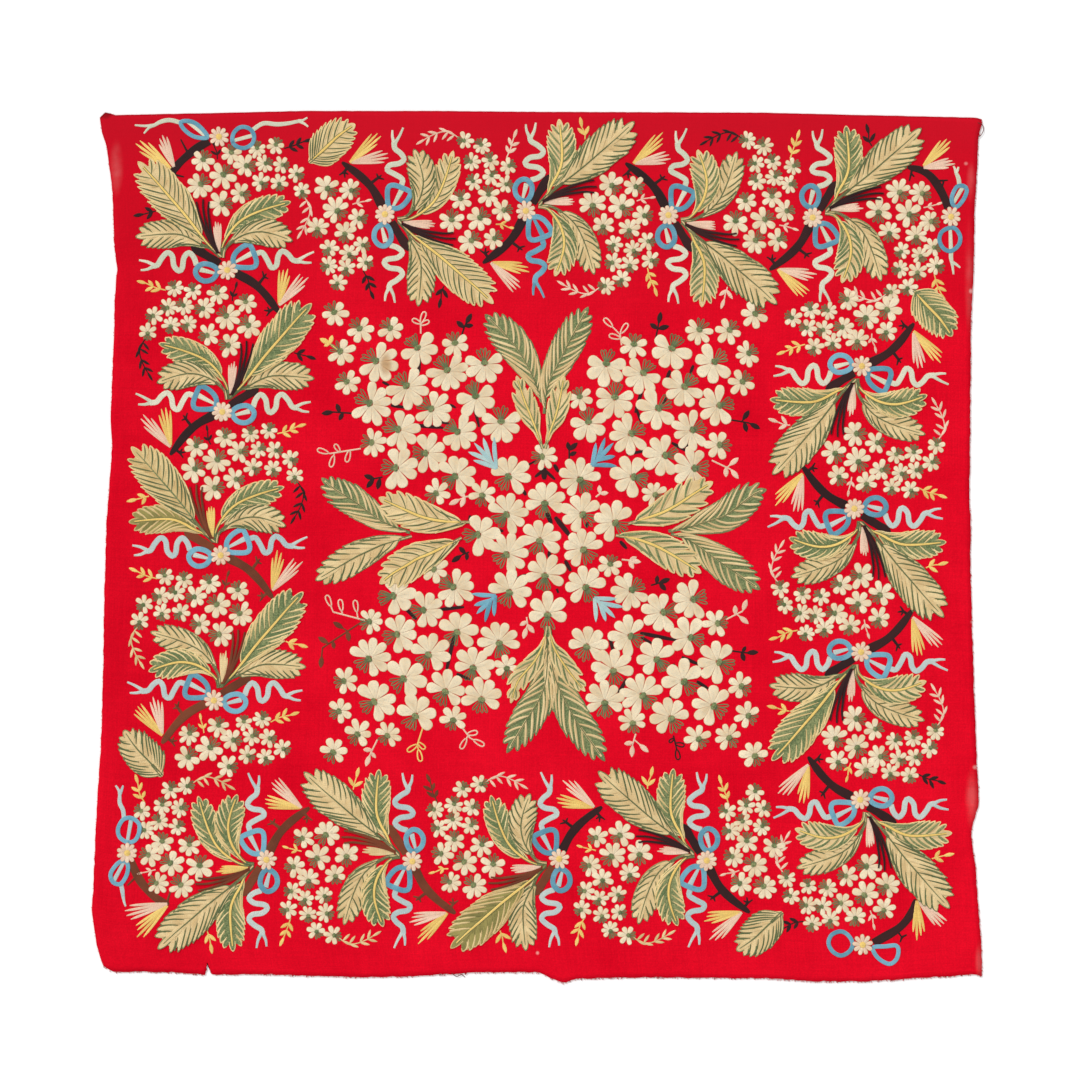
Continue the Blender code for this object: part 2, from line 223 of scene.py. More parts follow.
TWIGS = (  # small twigs of the incoming branch: base, fork and tips
    ((-44, 57), (-49, 51), ((-55, 47), (-48, 44), (-44, 48))),
    ((-16, 38), (-8, 44), ((-1, 42), (-4, 47), (-10, 49))),
)
OUTER_RIBBON = (
    (20, 35), (21, 42), (12, 48), (3, 53), (6, 59), (17, 61), (23, 66), (19, 73), (12, 79),
    (11, 87),
)
OUTER_TAILS = (((11, 85), (9, 93), (9, 101)), ((12, 85), (18, 95), (22, 104)))
INNER_RIBBON = (
    (6, -37), (15, -40), (21, -46), (15, -52), (3, -54), (-1, -58), (5, -64), (17, -66), (21, -72),
    (14, -79), (6, -84), (5, -90),
)
INNER_TAILS = (((5, -88), (1, -96), (0, -104)), ((6, -88), (10, -96), (12, -106)))

# ---------------------------------------------------------------- the corners' small sprays

# Each has its branch, bow loops, ribbons and their tails, twigs (base, tip) and bracts
# (base, tip, yarn). All places are (x, y).
CORNERS = {
    "top": {
        "branch": ((441, 449.5), (457, 446), (470, 437), (481, 421), (490, 401)),
        "loops": (
            ((495, 405), (494, 414), (500, 426), (508, 427), (512, 422), (508, 411), (500, 402)),
            ((492, 377), (482, 372), (479, 362), (484, 352), (493, 349), (502, 356), (504, 366),
             (499, 375)),
        ),
        "ribbons": (((503, 428), (502, 436), (499, 443)), ((493, 348), (493, 341), (494, 335))),
        "tails": (((499, 443), (498, 447), (496, 451)), ((499, 443), (501, 446), (502, 450)),
                  ((494, 336), (495, 329), (496, 321)), ((494, 336), (499, 333), (504, 329))),
        "twigs": (((446, 446), (443, 433)), ((445, 442), (449, 438)), ((475, 433), (489, 434)),
                  ((484, 434), (483, 427))),
        "bracts": (((460, 451), (492, 484), "yellow"), ((460, 449), (499, 456), "pink")),
    },
    "right": {
        "branch": ((450, -428.5), (446.5, -443), (431, -462.5), (400, -481)),
        "loops": (
            ((375, -482), (370, -472), (361, -467), (350, -471), (346, -481), (351, -491),
             (361, -496), (371, -491)),
            ((400, -486), (414, -485), (427, -484), (430, -491), (427, -501), (419, -506),
             (408, -501), (401, -493)),
        ),
        "ribbons": (),
        "tails": (),
        "twigs": (((428, -466), (434, -474)), ((434, -474), (440, -471)), ((434, -474), (432, -480))),
        "bracts": (((452, -430), (455, -480), "yellow"), ((454, -430), (487, -464), "pink")),
    },
    "bottom": {
        "branch": ((-445, -434.5), (-462, -426), (-479, -407), (-491, -383)),
        "loops": (
            ((-495, -360), (-504, -354), (-506, -344), (-500, -333), (-490, -331), (-481, -338),
             (-481, -349), (-486, -358)),
            ((-498, -382), (-507, -386), (-515, -398), (-512, -408), (-503, -410), (-496, -400),
             (-494, -389)),
        ),
        "ribbons": (((-499, -331), (-500, -322), (-504, -313), (-504, -303)),
                    ((-503, -409), (-501, -418), (-500, -426))),
        "tails": (((-504, -303), (-505, -298), (-509, -292)), ((-504, -303), (-502, -298), (-500, -292)),
                  ((-500, -425), (-499, -431), (-497, -437))),
        "twigs": (((-485, -402), (-495, -412)), ((-447, -431), (-442, -415))),
        "bracts": (((-447, -434), (-500, -446), "pink"), ((-447, -436), (-487, -473), "yellow")),
    },
    "left": {
        "branch": ((-441, 437), (-439, 446.5), (-428, 459), (-412, 472), (-397, 481)),
        "loops": (
            ((-399, 485), (-404, 494), (-413, 502), (-423, 505), (-431, 503), (-426, 494),
             (-414, 486)),
            ((-369, 481), (-367, 491), (-359, 497.5), (-349, 496), (-343, 488), (-345, 478),
             (-354, 472.5), (-364, 474.5)),
        ),
        "ribbons": (((-431, 503), (-444, 506), (-455, 504), (-464, 499)),
                    ((-345, 494), (-332, 502), (-316, 501), (-303, 502), (-288, 505))),
        "tails": (((-462, 500), (-474, 499), (-486, 500)), ((-462, 500), (-469, 497), (-475, 490)),
                  ((-290, 505), (-284, 506), (-279, 509)), ((-290, 505), (-283, 502), (-278, 498))),
        "twigs": (((-422, 466), (-431, 483)), ((-440, 441), (-427, 438))),
        "bracts": (((-443, 448), (-484, 481), "yellow"), ((-439, 450), (-456, 489), "pink")),
    },
}

# ---------------------------------------------------------------- the centre

CENTRE = (4, 14)
FOCUS = (64, 90)  # stamens of a quarter point away from here, from the centre
# Blossoms of a quarter from the centre, which mirrors them four ways.
QUARTER_SMALL = (
    (253, 264), (222, 244), (187, 245), (245, 216), (109, 226), (238, 181), (209, 108),
)
QUARTER_LARGE = (
    (154, 221), (203, 205), (118, 193), (74, 202), (168, 176), (85, 163), (137, 149),
    (210, 154), (54, 133), (104, 121), (176, 124), (143, 95), (179, 78), (107, 68),
)
# How far each quarter (sides in x and in y) has drifted from the mirrored places.
QUARTER_DRIFT = {(1, 1): (0.5, -4.5), (-1, 1): (3.5, -3.0), (-1, -1): (1.0, 0.0), (1, -1): (-1.0, -4.5)}
# Small ones that only some quarters have: (x, y) from the centre.
ODD_SMALL = (
    (132, 48), (-132, 48), (-132, -48), (-77, 46), (80, -36), (44, 164), (-44, -164), (0, 94),
)
# The bunch in the middle, from the centre: (x, y) and the stamens' heading in degrees.
CORE = (
    (-41, 66, -125), (43, 62, -60), (2, 34, -100), (-43, 20, -140), (46, 20, -45), (85, 10, -35),
    (-77, -5, 180), (-4, -11, -105), (-43, -28, -135), (47, -22, -50), (2, -53, -95),
    (-40, -73, -120), (50, -67, -60), (5, -100, -90),
)
# Leaves along the axes: points (x, y) along the vein, width, fingers a side and kind of leaf.
CENTRE_LEAVES = (
    (((2, 168), (-6, 192), (-16, 213), (-29, 234), (-45, 252), (-66, 273)), 41, 10, "striped"),
    (((5, 154), (7, 175), (12, 195), (23, 216), (36, 242), (58, 282)), 38, 11, "striped"),
    (((3, 112), (-3, 130), (-11, 151), (-19, 171), (-28, 199)), 26, 5, "edged"),
    (((6, 112), (12, 132), (19, 152), (24, 173), (29, 199)), 26, 5, "edged"),
    (((10, -101), (9, -135), (7, -166), (-1, -189), (-16, -213), (-40, -253)), 40, 11, "striped"),
    (((11, -101), (13, -135), (19, -166), (39, -207), (54, -230), (78, -263)), 40, 11, "striped"),
    (((8, -101), (4, -122), (-6, -142), (-16, -154), (-27, -168), (-35, -193)), 24, 5, "edged"),
    (((11, -101), (15, -122), (23, -138), (33, -153), (43, -166), (54, -179)), 24, 5, "edged"),
    (((-156, 11), (-188, 24), (-207, 37), (-226, 51), (-246, 63), (-262, 77)), 37, 10, "striped"),
    (((-154, 7), (-188, -3), (-204, -10), (-221, -18), (-240, -29), (-269, -46)), 38, 8, "pale"),
    (((-85, 24), (-105, 24), (-124, 26), (-141, 30), (-156, 36), (-193, 53)), 42, 7, "cream"),
    (((-94, 5), (-130, -13), (-147, -20), (-160, -28), (-177, -38), (-192, -50)), 42, 8, "cream"),
    (((106, 22), (125, 28), (146, 35), (165, 45), (183, 57), (207, 72)), 42, 6, "mixed"),
    (((154, 13), (176, 17), (198, 24), (224, 33), (256, 57), (272, 63)), 41, 10, "striped"),
    (((91, 8), (114, 4), (135, -3), (151, -11), (168, -21), (193, -37)), 39, 7, "mixed"),
    (((157, 10), (173, 5), (190, -5), (206, -17), (242, -42), (264, -57)), 41, 10, "striped"),
)
# Blue sprays of five fingers: base (x, y), tips (x, y), yarn.
BLUE_SPRAYS = (
    ((-52, 88), ((-55, 126), (-68, 125), (-79, 119), (-86, 108), (-80, 98)), "pale blue"),
    ((62, 92), ((67, 119), (78, 125), (88, 119), (90, 103), (92, 91)), "blue"),
    ((-53, -64), ((-82, -62), (-79, -76), (-76, -86), (-66, -96), (-55, -89)), "blue"),
    ((65, -67), ((92, -68), (100, -78), (90, -91), (79, -95), (67, -96)), "pale blue"),
)
# Dark stems that show between blossoms: ends (x, y) and width.
CORE_STEMS = (
    ((8, 35), (14, 22), 6.0), ((18, 30), (37, 6), 6.5), ((-20, 62), (-17, 56), 5.0),
    ((-56, 15), (-44, 13), 5.0), ((11, -11), (11, -20), 5.0), ((30, -22), (37, -35), 5.0),
    ((-24, -40), (-18, -46), 5.0), ((20, -56), (22, -61), 5.0), ((57, 24), (56, 17), 4.5),
    ((5, 89), (5, 75), 7.5), ((5, 87), (-6, 78), 4.2), ((5, 87), (18, 75), 4.2),
    ((17, 93), (22, 84), 5.0), ((-19, 90), (-4, 98), 2.5), ((-84, 23), (-84, 32), 5.0),
    ((96, 1), (104, -8), 5.0),
)
BUNCH_STEMS = (  # of the four bunches, from the centre: ends (x, y) and width
    ((152, 192), (146, 176), 4.6), ((180, 198), (176, 188), 4.2), ((119, 170), (110, 141), 4.6),
    ((112, 145), (117, 130), 3.8), ((100, 91), (124, 96), 4.0), ((154, 105), (174, 94), 4.4),
    ((172, 106), (172, 95), 4.2), ((186, 155), (202, 151), 3.6), ((148, 159), (143, 152), 4.0),
    ((-149, 206), (-149, 190), 4.6), ((-155, 126), (-120, 123), 4.8), ((-128, 131), (-113, 128), 3.8),
    ((-183, 150), (-164, 147), 4.4), ((-193, 178), (-185, 174), 4.0), ((-83, 149), (-77, 124), 4.2),
    ((-150, 161), (-149, 154), 4.0), ((-112, 151), (-105, 147), 3.8),
    ((-166, -93), (-152, -107), 4.8), ((-125, -95), (-95, -92), 4.6), ((-107, -126), (-117, -172), 5.0),
    ((-104, -172), (-88, -179), 4.2), ((-32, -58), (-20, -53), 4.4),
    ((79, -125), (85, -151), 4.6), ((116, -123), (160, -132), 5.2), ((117, -128), (131, -136), 4.0),
    ((90, -196), (100, -178), 5.2), ((166, -152), (187, -161), 4.8), ((184, -181), (198, -190), 4.4),
    ((152, -199), (152, -212), 4.0), ((156, -160), (160, -170), 3.8),
)
# Sprigs of the centre: base and end (x, y) of the stem, tips (x, y) of the leaflets, of which the first
# one is on the stem's end, yarn, whether they are open loops.
CENTRE_SPRIGS = (
    ((-243, 230), (-252, 238), ((-264, 244), (-249, 248), (-259, 235)), "yellow", False),
    ((-143, 250), (-143, 262), ((-138, 276), (-153, 267), (-133, 265)), "pink", True),
    ((-96, 242), (-90, 260), ((-82, 274), (-100, 265), (-80, 260)), "black", False),
    ((-221, 154), (-248, 156), ((-262, 154), (-244, 166), (-241, 146)), "black", False),
    ((-215, 112), (-252, 106), ((-267, 111), (-251, 90), (-232, 96), (-246, 117)), "pink", True),
    ((-189, 78), (-199, 76), ((-211, 80), (-208, 65), (-195, 63)), "black", False),
    ((-80, 56), (-90, 54), ((-109, 45), (-98, 62), (-95, 42)), "pink", False),
    ((98, 236), (96, 249), ((77, 268), (105, 262), (83, 248)), "pink", True),
    ((139, 245), (142, 261), ((145, 276), (132, 262), (155, 259)), "black", False),
    ((226, 147), (250, 143), ((264, 136), (251, 158), (248, 132)), "black", False),
    ((206, 98), (229, 87), ((238, 76), (238, 101), (223, 78)), "pink", False),
    ((67, 54), (72, 58), ((71, 68), (82, 59)), "pink", False),
    ((35, 100), (35, 110), ((33, 120), (45, 119), (44, 108)), "black", False),
    ((-210, -94), (-248, -84), ((-256, -64), (-240, -69), (-222, -70)), "pink", True),
    ((-211, -94), (-261, -127), ((-263, -151), (-248, -96), (-229, -119), (-247, -128), (-266, -114)),
     "brown", False),
    ((-140, -221), (-147, -243), ((-143, -263), (-159, -251), (-138, -248)), "yellow", True),
    ((-96, -219), (-84, -235), ((-67, -244), (-75, -228), (-95, -248)), "pink", True),
    ((-195, -237), (-203, -253), ((-209, -269), (-212, -249), (-197, -259)), "pink", False),
    ((-16, -90), (-15, -99), ((-20, -116), (-24, -100), (-7, -109)), "pink", False),
    ((-85, -12), (-93, -15), ((-106, -24), (-97, -6), (-88, -22)), "black", False),
    ((133, -52), (143, -49), ((156, -44), (141, -40), (151, -58)), "black", False),
    ((223, -93), (243, -83), ((248, -69), (234, -76), (250, -98)), "pink", False),
    ((226, -130), (248, -133), ((262, -132), (247, -125), (245, -143)), "black", False),
    ((115, -230), (111, -243), ((110, -258), (101, -242), (130, -252)), "pink", False),
    ((160, -232), (164, -249), ((166, -261), (155, -240), (173, -244)), "black", True),
    ((98, -21), (107, -22), ((121, -24), (116, -18), (112, -32)), "pink", False),
)
LONGEST_LEAFLET = 14.0  # of a centre sprig: past this, it has a stalk

# ---------------------------------------------------------------- stitches

ROW = 1.5  # width of a row of chain stitch
LOOP = 2.2  # length of one chain loop
LIFTS = {  # height over the cloth at which a layer of stitches starts
    "stem": 0.04, "bed": 0.14, "fill": 0.26, "line": 0.52, "vein": 0.62, "top": 0.72,
    "over": 1.45,
}
FOOT = 0.2  # how far the stitches' feet go down into the cloth
# Yarns: main colour, the colour of its paler or other rows, how mottled it is, slot.
YARNS = {
    "blossom": ((244, 227, 194), (224, 198, 158), 0.8, "cream_yarn"),
    "cream": ((231, 205, 153), (206, 175, 122), 0.9, "leaf_yarn"),
    "tan": ((222, 196, 140), (196, 164, 106), 0.9, "leaf_yarn"),
    "edge": ((237, 212, 155), (216, 186, 125), 0.6, "leaf_yarn"),
    "green": ((95, 113, 70), (138, 143, 95), 1.0, "green_yarn"),
    "dark green": ((104, 112, 70), (84, 96, 58), 0.8, "green_yarn"),
    "olive": ((158, 146, 82), (118, 112, 60), 0.9, "green_yarn"),
    "yellow": ((241, 206, 118), (224, 184, 98), 0.6, "yellow_yarn"),
    "pink": ((238, 204, 178), (224, 184, 158), 0.6, "pink_yarn"),
    "rosette": ((242, 216, 188), (230, 196, 168), 0.5, "pink_yarn"),
    "blue": ((122, 176, 194), (86, 140, 162), 0.9, "blue_yarn"),
    "pale blue": ((186, 208, 202), (156, 190, 192), 0.6, "blue_yarn"),
    "ribbon": ((222, 216, 192), (198, 202, 178), 0.6, "pale_yarn"),
    "grey ribbon": ((198, 206, 198), (172, 190, 190), 0.7, "pale_yarn"),
    "black": ((52, 18, 18), (36, 10, 12), 0.5, "dark_yarn"),
    "brown": ((124, 62, 34), (98, 46, 24), 0.7, "dark_yarn"),
    "stamen": ((116, 128, 86), (92, 104, 66), 0.8, "green_yarn"),
    "thread": ((226, 20, 40), (206, 10, 30), 0.3, "red_wool"),
    "dark thread": ((110, 20, 24), (80, 14, 18), 0.3, "red_wool"),
}


def dice(*key):
    """Random numbers that depend only on the key."""
    return random.Random("/".join(map(str, (SEED, *key))))


def cloth_top(x, y):
    """Height of the bare cloth's upper side."""
    z = np.full(np.shape(x), THICKNESS)
    for rise, wave_x, wave_y, phase in WAVES:
        z = z + rise * (1 + np.sin(math.tau * (x / wave_x + y / wave_y + phase))) / 2
    for (x0, y0), (x1, y1), rise, width in CREASES:
        dx, dy = x1 - x0, y1 - y0
        along = np.clip(((x - x0) * dx + (y - y0) * dy) / (dx * dx + dy * dy), 0.0, 1.0)
        off = np.hypot(x - x0 - along * dx, y - y0 - along * dy)
        z = z + rise * np.sin(math.pi * along) * np.exp(-((off / width * 2) ** 2))
    return z


def curve(points, step, closed=False):
    """Points on a smooth curve through these, about one step apart."""
    p = np.array(points, float)
    count = len(p) if closed else len(p) - 1
    if closed:
        p = np.vstack([p[-1], p, p[0], p[1]])
    else:
        p = np.vstack([2 * p[0] - p[1], p, 2 * p[-1] - p[-2]])
    made = []
    for i in range(count):
        a, b, c, d = p[i : i + 4]
        pieces = max(1, round(math.dist(b, c) / step))
        t = (np.arange(pieces) / pieces)[:, None]
        made.append(
            0.5 * (2 * b + (c - a) * t + (2 * a - 5 * b + 4 * c - d) * t**2
                   + (3 * b - a - 3 * c + d) * t**3)
        )
    if not closed:
        made.append(p[-2][None])
    return np.vstack(made)


def normals(path, closed=False):
    """Unit vectors to the left of the path at each of its points."""
    if closed:
        ways = np.roll(path, -1, 0) - np.roll(path, 1, 0)
    else:
        ways = np.gradient(path, axis=0)
    ways /= np.maximum(np.linalg.norm(ways, axis=1, keepdims=True), 1e-9)
    return np.stack([-ways[:, 1], ways[:, 0]], 1)


def beside(path, off):
    """The path moved to its left, by one distance for each of its points."""
    return path + normals(path) * off[:, None]


def distances(path):
    """How far along the path each of its points lies."""
    return np.concatenate([[0.0], np.cumsum(np.linalg.norm(np.diff(path, axis=0), axis=1))])


def unit(angle):
    return np.array([math.cos(angle), math.sin(angle)])


def angle_of(way):
    return math.atan2(way[1], way[0])


class Yarn:
    """All the stitches in one yarn on one part of the cloth, joined into one mesh."""

    def __init__(self, name, material, slot):
        self.name, self.material, self.slot = name, material, slot
        self.points, self.quads, self.stitch, self.tone = [], [], [], []
        self.count = 0

    def patch(self, xy, z, stitch, tone, closed):
        """A grid of points, rows by columns, with (along, across) for the stitches."""
        rows, columns = z.shape
        index = np.arange(z.size).reshape(rows, columns) + self.count
        below = np.roll(index, -1, 0) if closed else index[1:]
        above = index if closed else index[:-1]
        quads = np.stack([above[:, :-1], below[:, :-1], below[:, 1:], above[:, 1:]], -1)
        self.quads.append(quads.reshape(-1, 4))
        self.points.append(np.concatenate([xy, z[..., None]], -1).reshape(-1, 3))
        self.stitch.append(stitch.reshape(-1, 2))
        self.tone.append(np.full(z.size, tone))
        self.count += z.size

    def strip(self, path, width, lift, height, rows=1, tone=0.5, closed=False):
        """Rows of stitches side by side along a path. Width is one number or one for each point."""
        path = np.asarray(path, float)
        half = np.broadcast_to(np.asarray(width, float) / 2, (len(path),))
        across = np.linspace(1, -1, 2 * rows + 1)  # from the left edge to the right one
        crest = 1 - 0.6 * np.abs(across) ** (2 if rows == 1 else 8)
        if rows > 1:
            grooves = (np.arange(len(across)) % 2 == 0) & (np.abs(across) < 0.99)
            crest = crest * np.where(grooves, 0.6, 1.0)
        across = np.concatenate([[1], across, [-1]])
        spread = half[:, None] * across[None]
        xy = path[:, None] + normals(path, closed)[:, None] * spread[..., None]
        full = np.minimum(half / ROW * 2, 1.0)[:, None]
        z = np.zeros(spread.shape)
        z[:, 1:-1] = lift + height * crest[None] * full
        stitch = np.stack(np.broadcast_arrays(distances(path)[:, None], spread), -1)
        self.patch(xy, z, stitch, tone, closed)

    def pad(self, outline, lift, height, tone, rings):
        """A filled shape that is convex enough to shrink to its middle, as rings of rows."""
        outline = np.asarray(outline, float)
        middle = outline.mean(0)
        shares = np.concatenate([[1.0, 0.97], np.linspace(0.84, 0.02, rings + 1)])
        xy = middle + (outline - middle)[:, None] * shares[None, :, None]
        rise = lift + height * np.concatenate([[0.0, 0.5], np.linspace(0.95, 1.25, rings + 1)])
        rise[0] = 0.0
        z = np.broadcast_to(rise, xy.shape[:2])
        reach = np.linalg.norm(outline - middle, axis=1)
        inward = reach[:, None] * (1 - shares)
        stitch = np.stack(np.broadcast_arrays(distances(outline)[:, None], inward), -1)
        self.patch(xy, z, stitch, tone, closed=True)

    def build(self):
        points = np.vstack(self.points)
        lift = points[:, 2]
        up = cloth_top(points[:, 0], points[:, 1]) + lift
        places = np.stack([points[:, 0] - MIDDLE[0], points[:, 1] - MIDDLE[1], up], 1)
        places[lift <= 0.0, 2] -= FOOT
        stitch, tone = np.vstack(self.stitch), np.hstack(self.tone)
        return make_mesh(self.name, self.material, places * MM, np.vstack(self.quads), stitch, tone)


def make_mesh(name, material, places, quads, stitch, tone):
    """A piece of quads, in metres, with its stitches' coordinates and its tones for the material."""
    mesh = bpy.data.meshes.new(name)
    mesh.vertices.add(len(places))
    mesh.vertices.foreach_set("co", places.astype(np.float32).ravel())
    mesh.loops.add(quads.size)
    mesh.loops.foreach_set("vertex_index", quads.astype(np.int32).ravel())
    mesh.polygons.add(len(quads))
    mesh.polygons.foreach_set("loop_start", np.arange(0, quads.size, 4, dtype=np.int32))
    mesh.update(calc_edges=True)
    mesh.polygons.foreach_set("use_smooth", np.ones(len(quads), bool))
    corners = quads.ravel()
    low, high = places[:, :2].min(0), places[:, :2].max(0)
    seen_from_above = 0.01 + 0.98 * (places[:, :2] - low) / (high - low)
    for layer_name, values in (("OFBake", seen_from_above), ("Stitch", stitch)):
        layer = mesh.uv_layers.new(name=layer_name)
        layer.uv.foreach_set("vector", values[corners].astype(np.float32).ravel())
    mesh.attributes.new("tone", "FLOAT", "POINT").data.foreach_set("value", tone.astype(np.float32))
    mesh.materials.append(material)
    return add_object(name, mesh)


def add_object(name, data):
    made = bpy.data.objects.new(name, data)
    bpy.context.scene.collection.objects.link(made)
    return made


# ---------------------------------------------------------------- materials


def srgb(red, green, blue):
    """A colour given as 0 to 255, for a shader."""
    def linear(value):
        value /= 255
        return value / 12.92 if value <= 0.04045 else ((value + 0.055) / 1.055) ** 2.4
    return (linear(red), linear(green), linear(blue), 1.0)


class Shader:
    """A Principled material with short calls for the nodes behind it."""

    def __init__(self, name, roughness, sheen, specular=0.25):
        self.material = bpy.data.materials.new(name)
        self.material.use_nodes = True
        self.tree = self.material.node_tree
        self.surface = self.tree.nodes["Principled BSDF"]
        for socket, value in (("Roughness", roughness), ("Sheen Weight", sheen),
                              ("Sheen Roughness", 0.5), ("Specular IOR Level", specular)):
            self.connect(self.surface.inputs[socket], value)

    def node(self, kind, **settings):
        made = self.tree.nodes.new("ShaderNode" + kind)
        for name, value in settings.items():
            setattr(made, name, value)
        return made

    def connect(self, socket, value):
        if isinstance(value, bpy.types.NodeSocket):
            self.tree.links.new(value, socket)
        else:
            socket.default_value = value

    def feed(self, node, *values):
        """Gives the node's first inputs these values. What comes back is its outputs."""
        for socket, value in zip(node.inputs, values):
            self.connect(socket, value)
        return node.outputs

    def math(self, operation, a, b=0.0, clamp=False):
        return self.feed(self.node("Math", operation=operation, use_clamp=clamp), a, b)[0]

    def times(self, a, b):
        return self.math("MULTIPLY", a, b)

    def plus(self, a, b, clamp=False):
        return self.math("ADD", a, b, clamp)

    def minus(self, a, b):
        return self.math("SUBTRACT", a, b)

    def remap(self, value, low, high, to_low=0.0, to_high=1.0):
        return self.feed(self.node("MapRange"), value, low, high, to_low, to_high)[0]

    def mix(self, share, a, b, blend="MIX"):
        made = self.node("Mix", data_type="RGBA", blend_type=blend)
        for socket, value in ((0, share), (6, a), (7, b)):  # the sockets for colours
            self.connect(made.inputs[socket], value)
        return made.outputs[2]

    def tint(self, colour, share, rgb):
        """The colour with a share of another one over it."""
        return self.mix(share, colour, srgb(*rgb))

    def shade(self, colour, value, low, high, darkest, lightest):
        """The colour made darker or lighter as the value goes from low to high."""
        level = self.remap(value, low, high, darkest, lightest)
        grey = self.feed(self.node("CombineColor"), level, level, level)[0]
        return self.mix(1.0, colour, grey, "MULTIPLY")

    def place(self):
        """Coordinates on the piece, in metres."""
        return self.node("TexCoord").outputs["Object"]

    def axes(self, vector):
        return self.feed(self.node("SeparateXYZ"), vector)[:2]

    def noise(self, scale, detail=2.0, roughness=0.5, vector=None):
        made = self.node("TexNoise")
        for name, value in (("Scale", scale), ("Detail", detail), ("Roughness", roughness)):
            self.connect(made.inputs[name], value)
        return self.feed(made, self.place() if vector is None else vector)["Fac"]

    def spot(self, x, y, radius_x, radius_y, soft):
        """1 inside an ellipse on the cloth and 0 outside it, with a soft rim."""
        right, up = self.axes(self.place())
        dx = self.times(self.minus(right, (x - MIDDLE[0]) * MM), 1 / (radius_x * MM))
        dy = self.times(self.minus(up, (y - MIDDLE[1]) * MM), 1 / (radius_y * MM))
        reach = self.plus(self.times(dx, dx), self.times(dy, dy))
        return self.remap(reach, 1.0 - soft, 1.0 + soft, 1.0, 0.0)

    def bump(self, height, distance, strength):
        made = self.node("Bump")
        for name, value in (("Height", height), ("Distance", distance), ("Strength", strength)):
            self.connect(made.inputs[name], value)
        self.connect(self.surface.inputs["Normal"], made.outputs[0])

    def finished(self, colour):
        self.feed(self.surface, colour)
        return self.material


def yarn_material(name):
    """Chain-stitched yarn: loops along each row, speckled and a little mottled, with a soft sheen."""
    usual, other, mottle, _slot = YARNS[name]
    look = Shader(name.replace(" ", "_") + "_yarn", 0.66, 0.02 if name in ("black", "brown") else 0.1)
    along, across = look.axes(look.node("UVMap", uv_map="Stitch").outputs[0])
    row = look.math("ABSOLUTE", look.minus(look.math("FRACT", look.times(across, 1 / ROW)), 0.5))
    turn = look.plus(look.times(along, 1 / LOOP), look.times(row, 0.9))
    loop = look.math("ABSOLUTE", look.math("SINE", look.times(turn, math.pi)))
    groove = look.remap(row, 0.3, 0.5, 1.0, 0.0)
    height = look.times(look.plus(loop, 0.6), look.plus(groove, 0.8))
    height = look.plus(height, look.times(look.noise(2600.0), 0.9))
    look.bump(height, 0.00022, 0.8)

    tone = look.node("Attribute", attribute_name="tone").outputs["Fac"]
    blotch = look.minus(look.noise(60.0, 3.0), 0.5)
    speckle = look.noise(640.0, 2.0, 0.7)
    share = look.plus(look.times(blotch, 2.4 * mottle), tone)
    share = look.plus(share, look.times(look.minus(speckle, 0.5), 3.6 * mottle), clamp=True)
    colour = look.mix(share, srgb(*usual), srgb(*other))
    # painted shade: the colour darkens where the stitch relief is low, in the grooves between loops and
    # rows
    colour = look.shade(colour, height, 0.3, 2.2, 0.74, 1.08)
    colour = look.shade(colour, speckle, 0.3, 0.7, 0.8, 1.16)
    if name in ("blossom", "rosette"):  # brownish rim: own edge colour and painted shade between petals
        # the rim is partly the yarn's own brownish edge and partly painted shade in the gaps between
        # petals
        colour = look.tint(colour, look.remap(across, 0.15, 0.75, 0.8, 0.0), (176, 126, 90))
    if name == "blossom":  # an old brown stain on one blossom of the upper left bunch
        stain = look.spot(-185, 213, 6.0, 12.0, 0.8)
        colour = look.tint(colour, look.times(stain, 0.65), (186, 132, 74))
    return look.finished(colour)


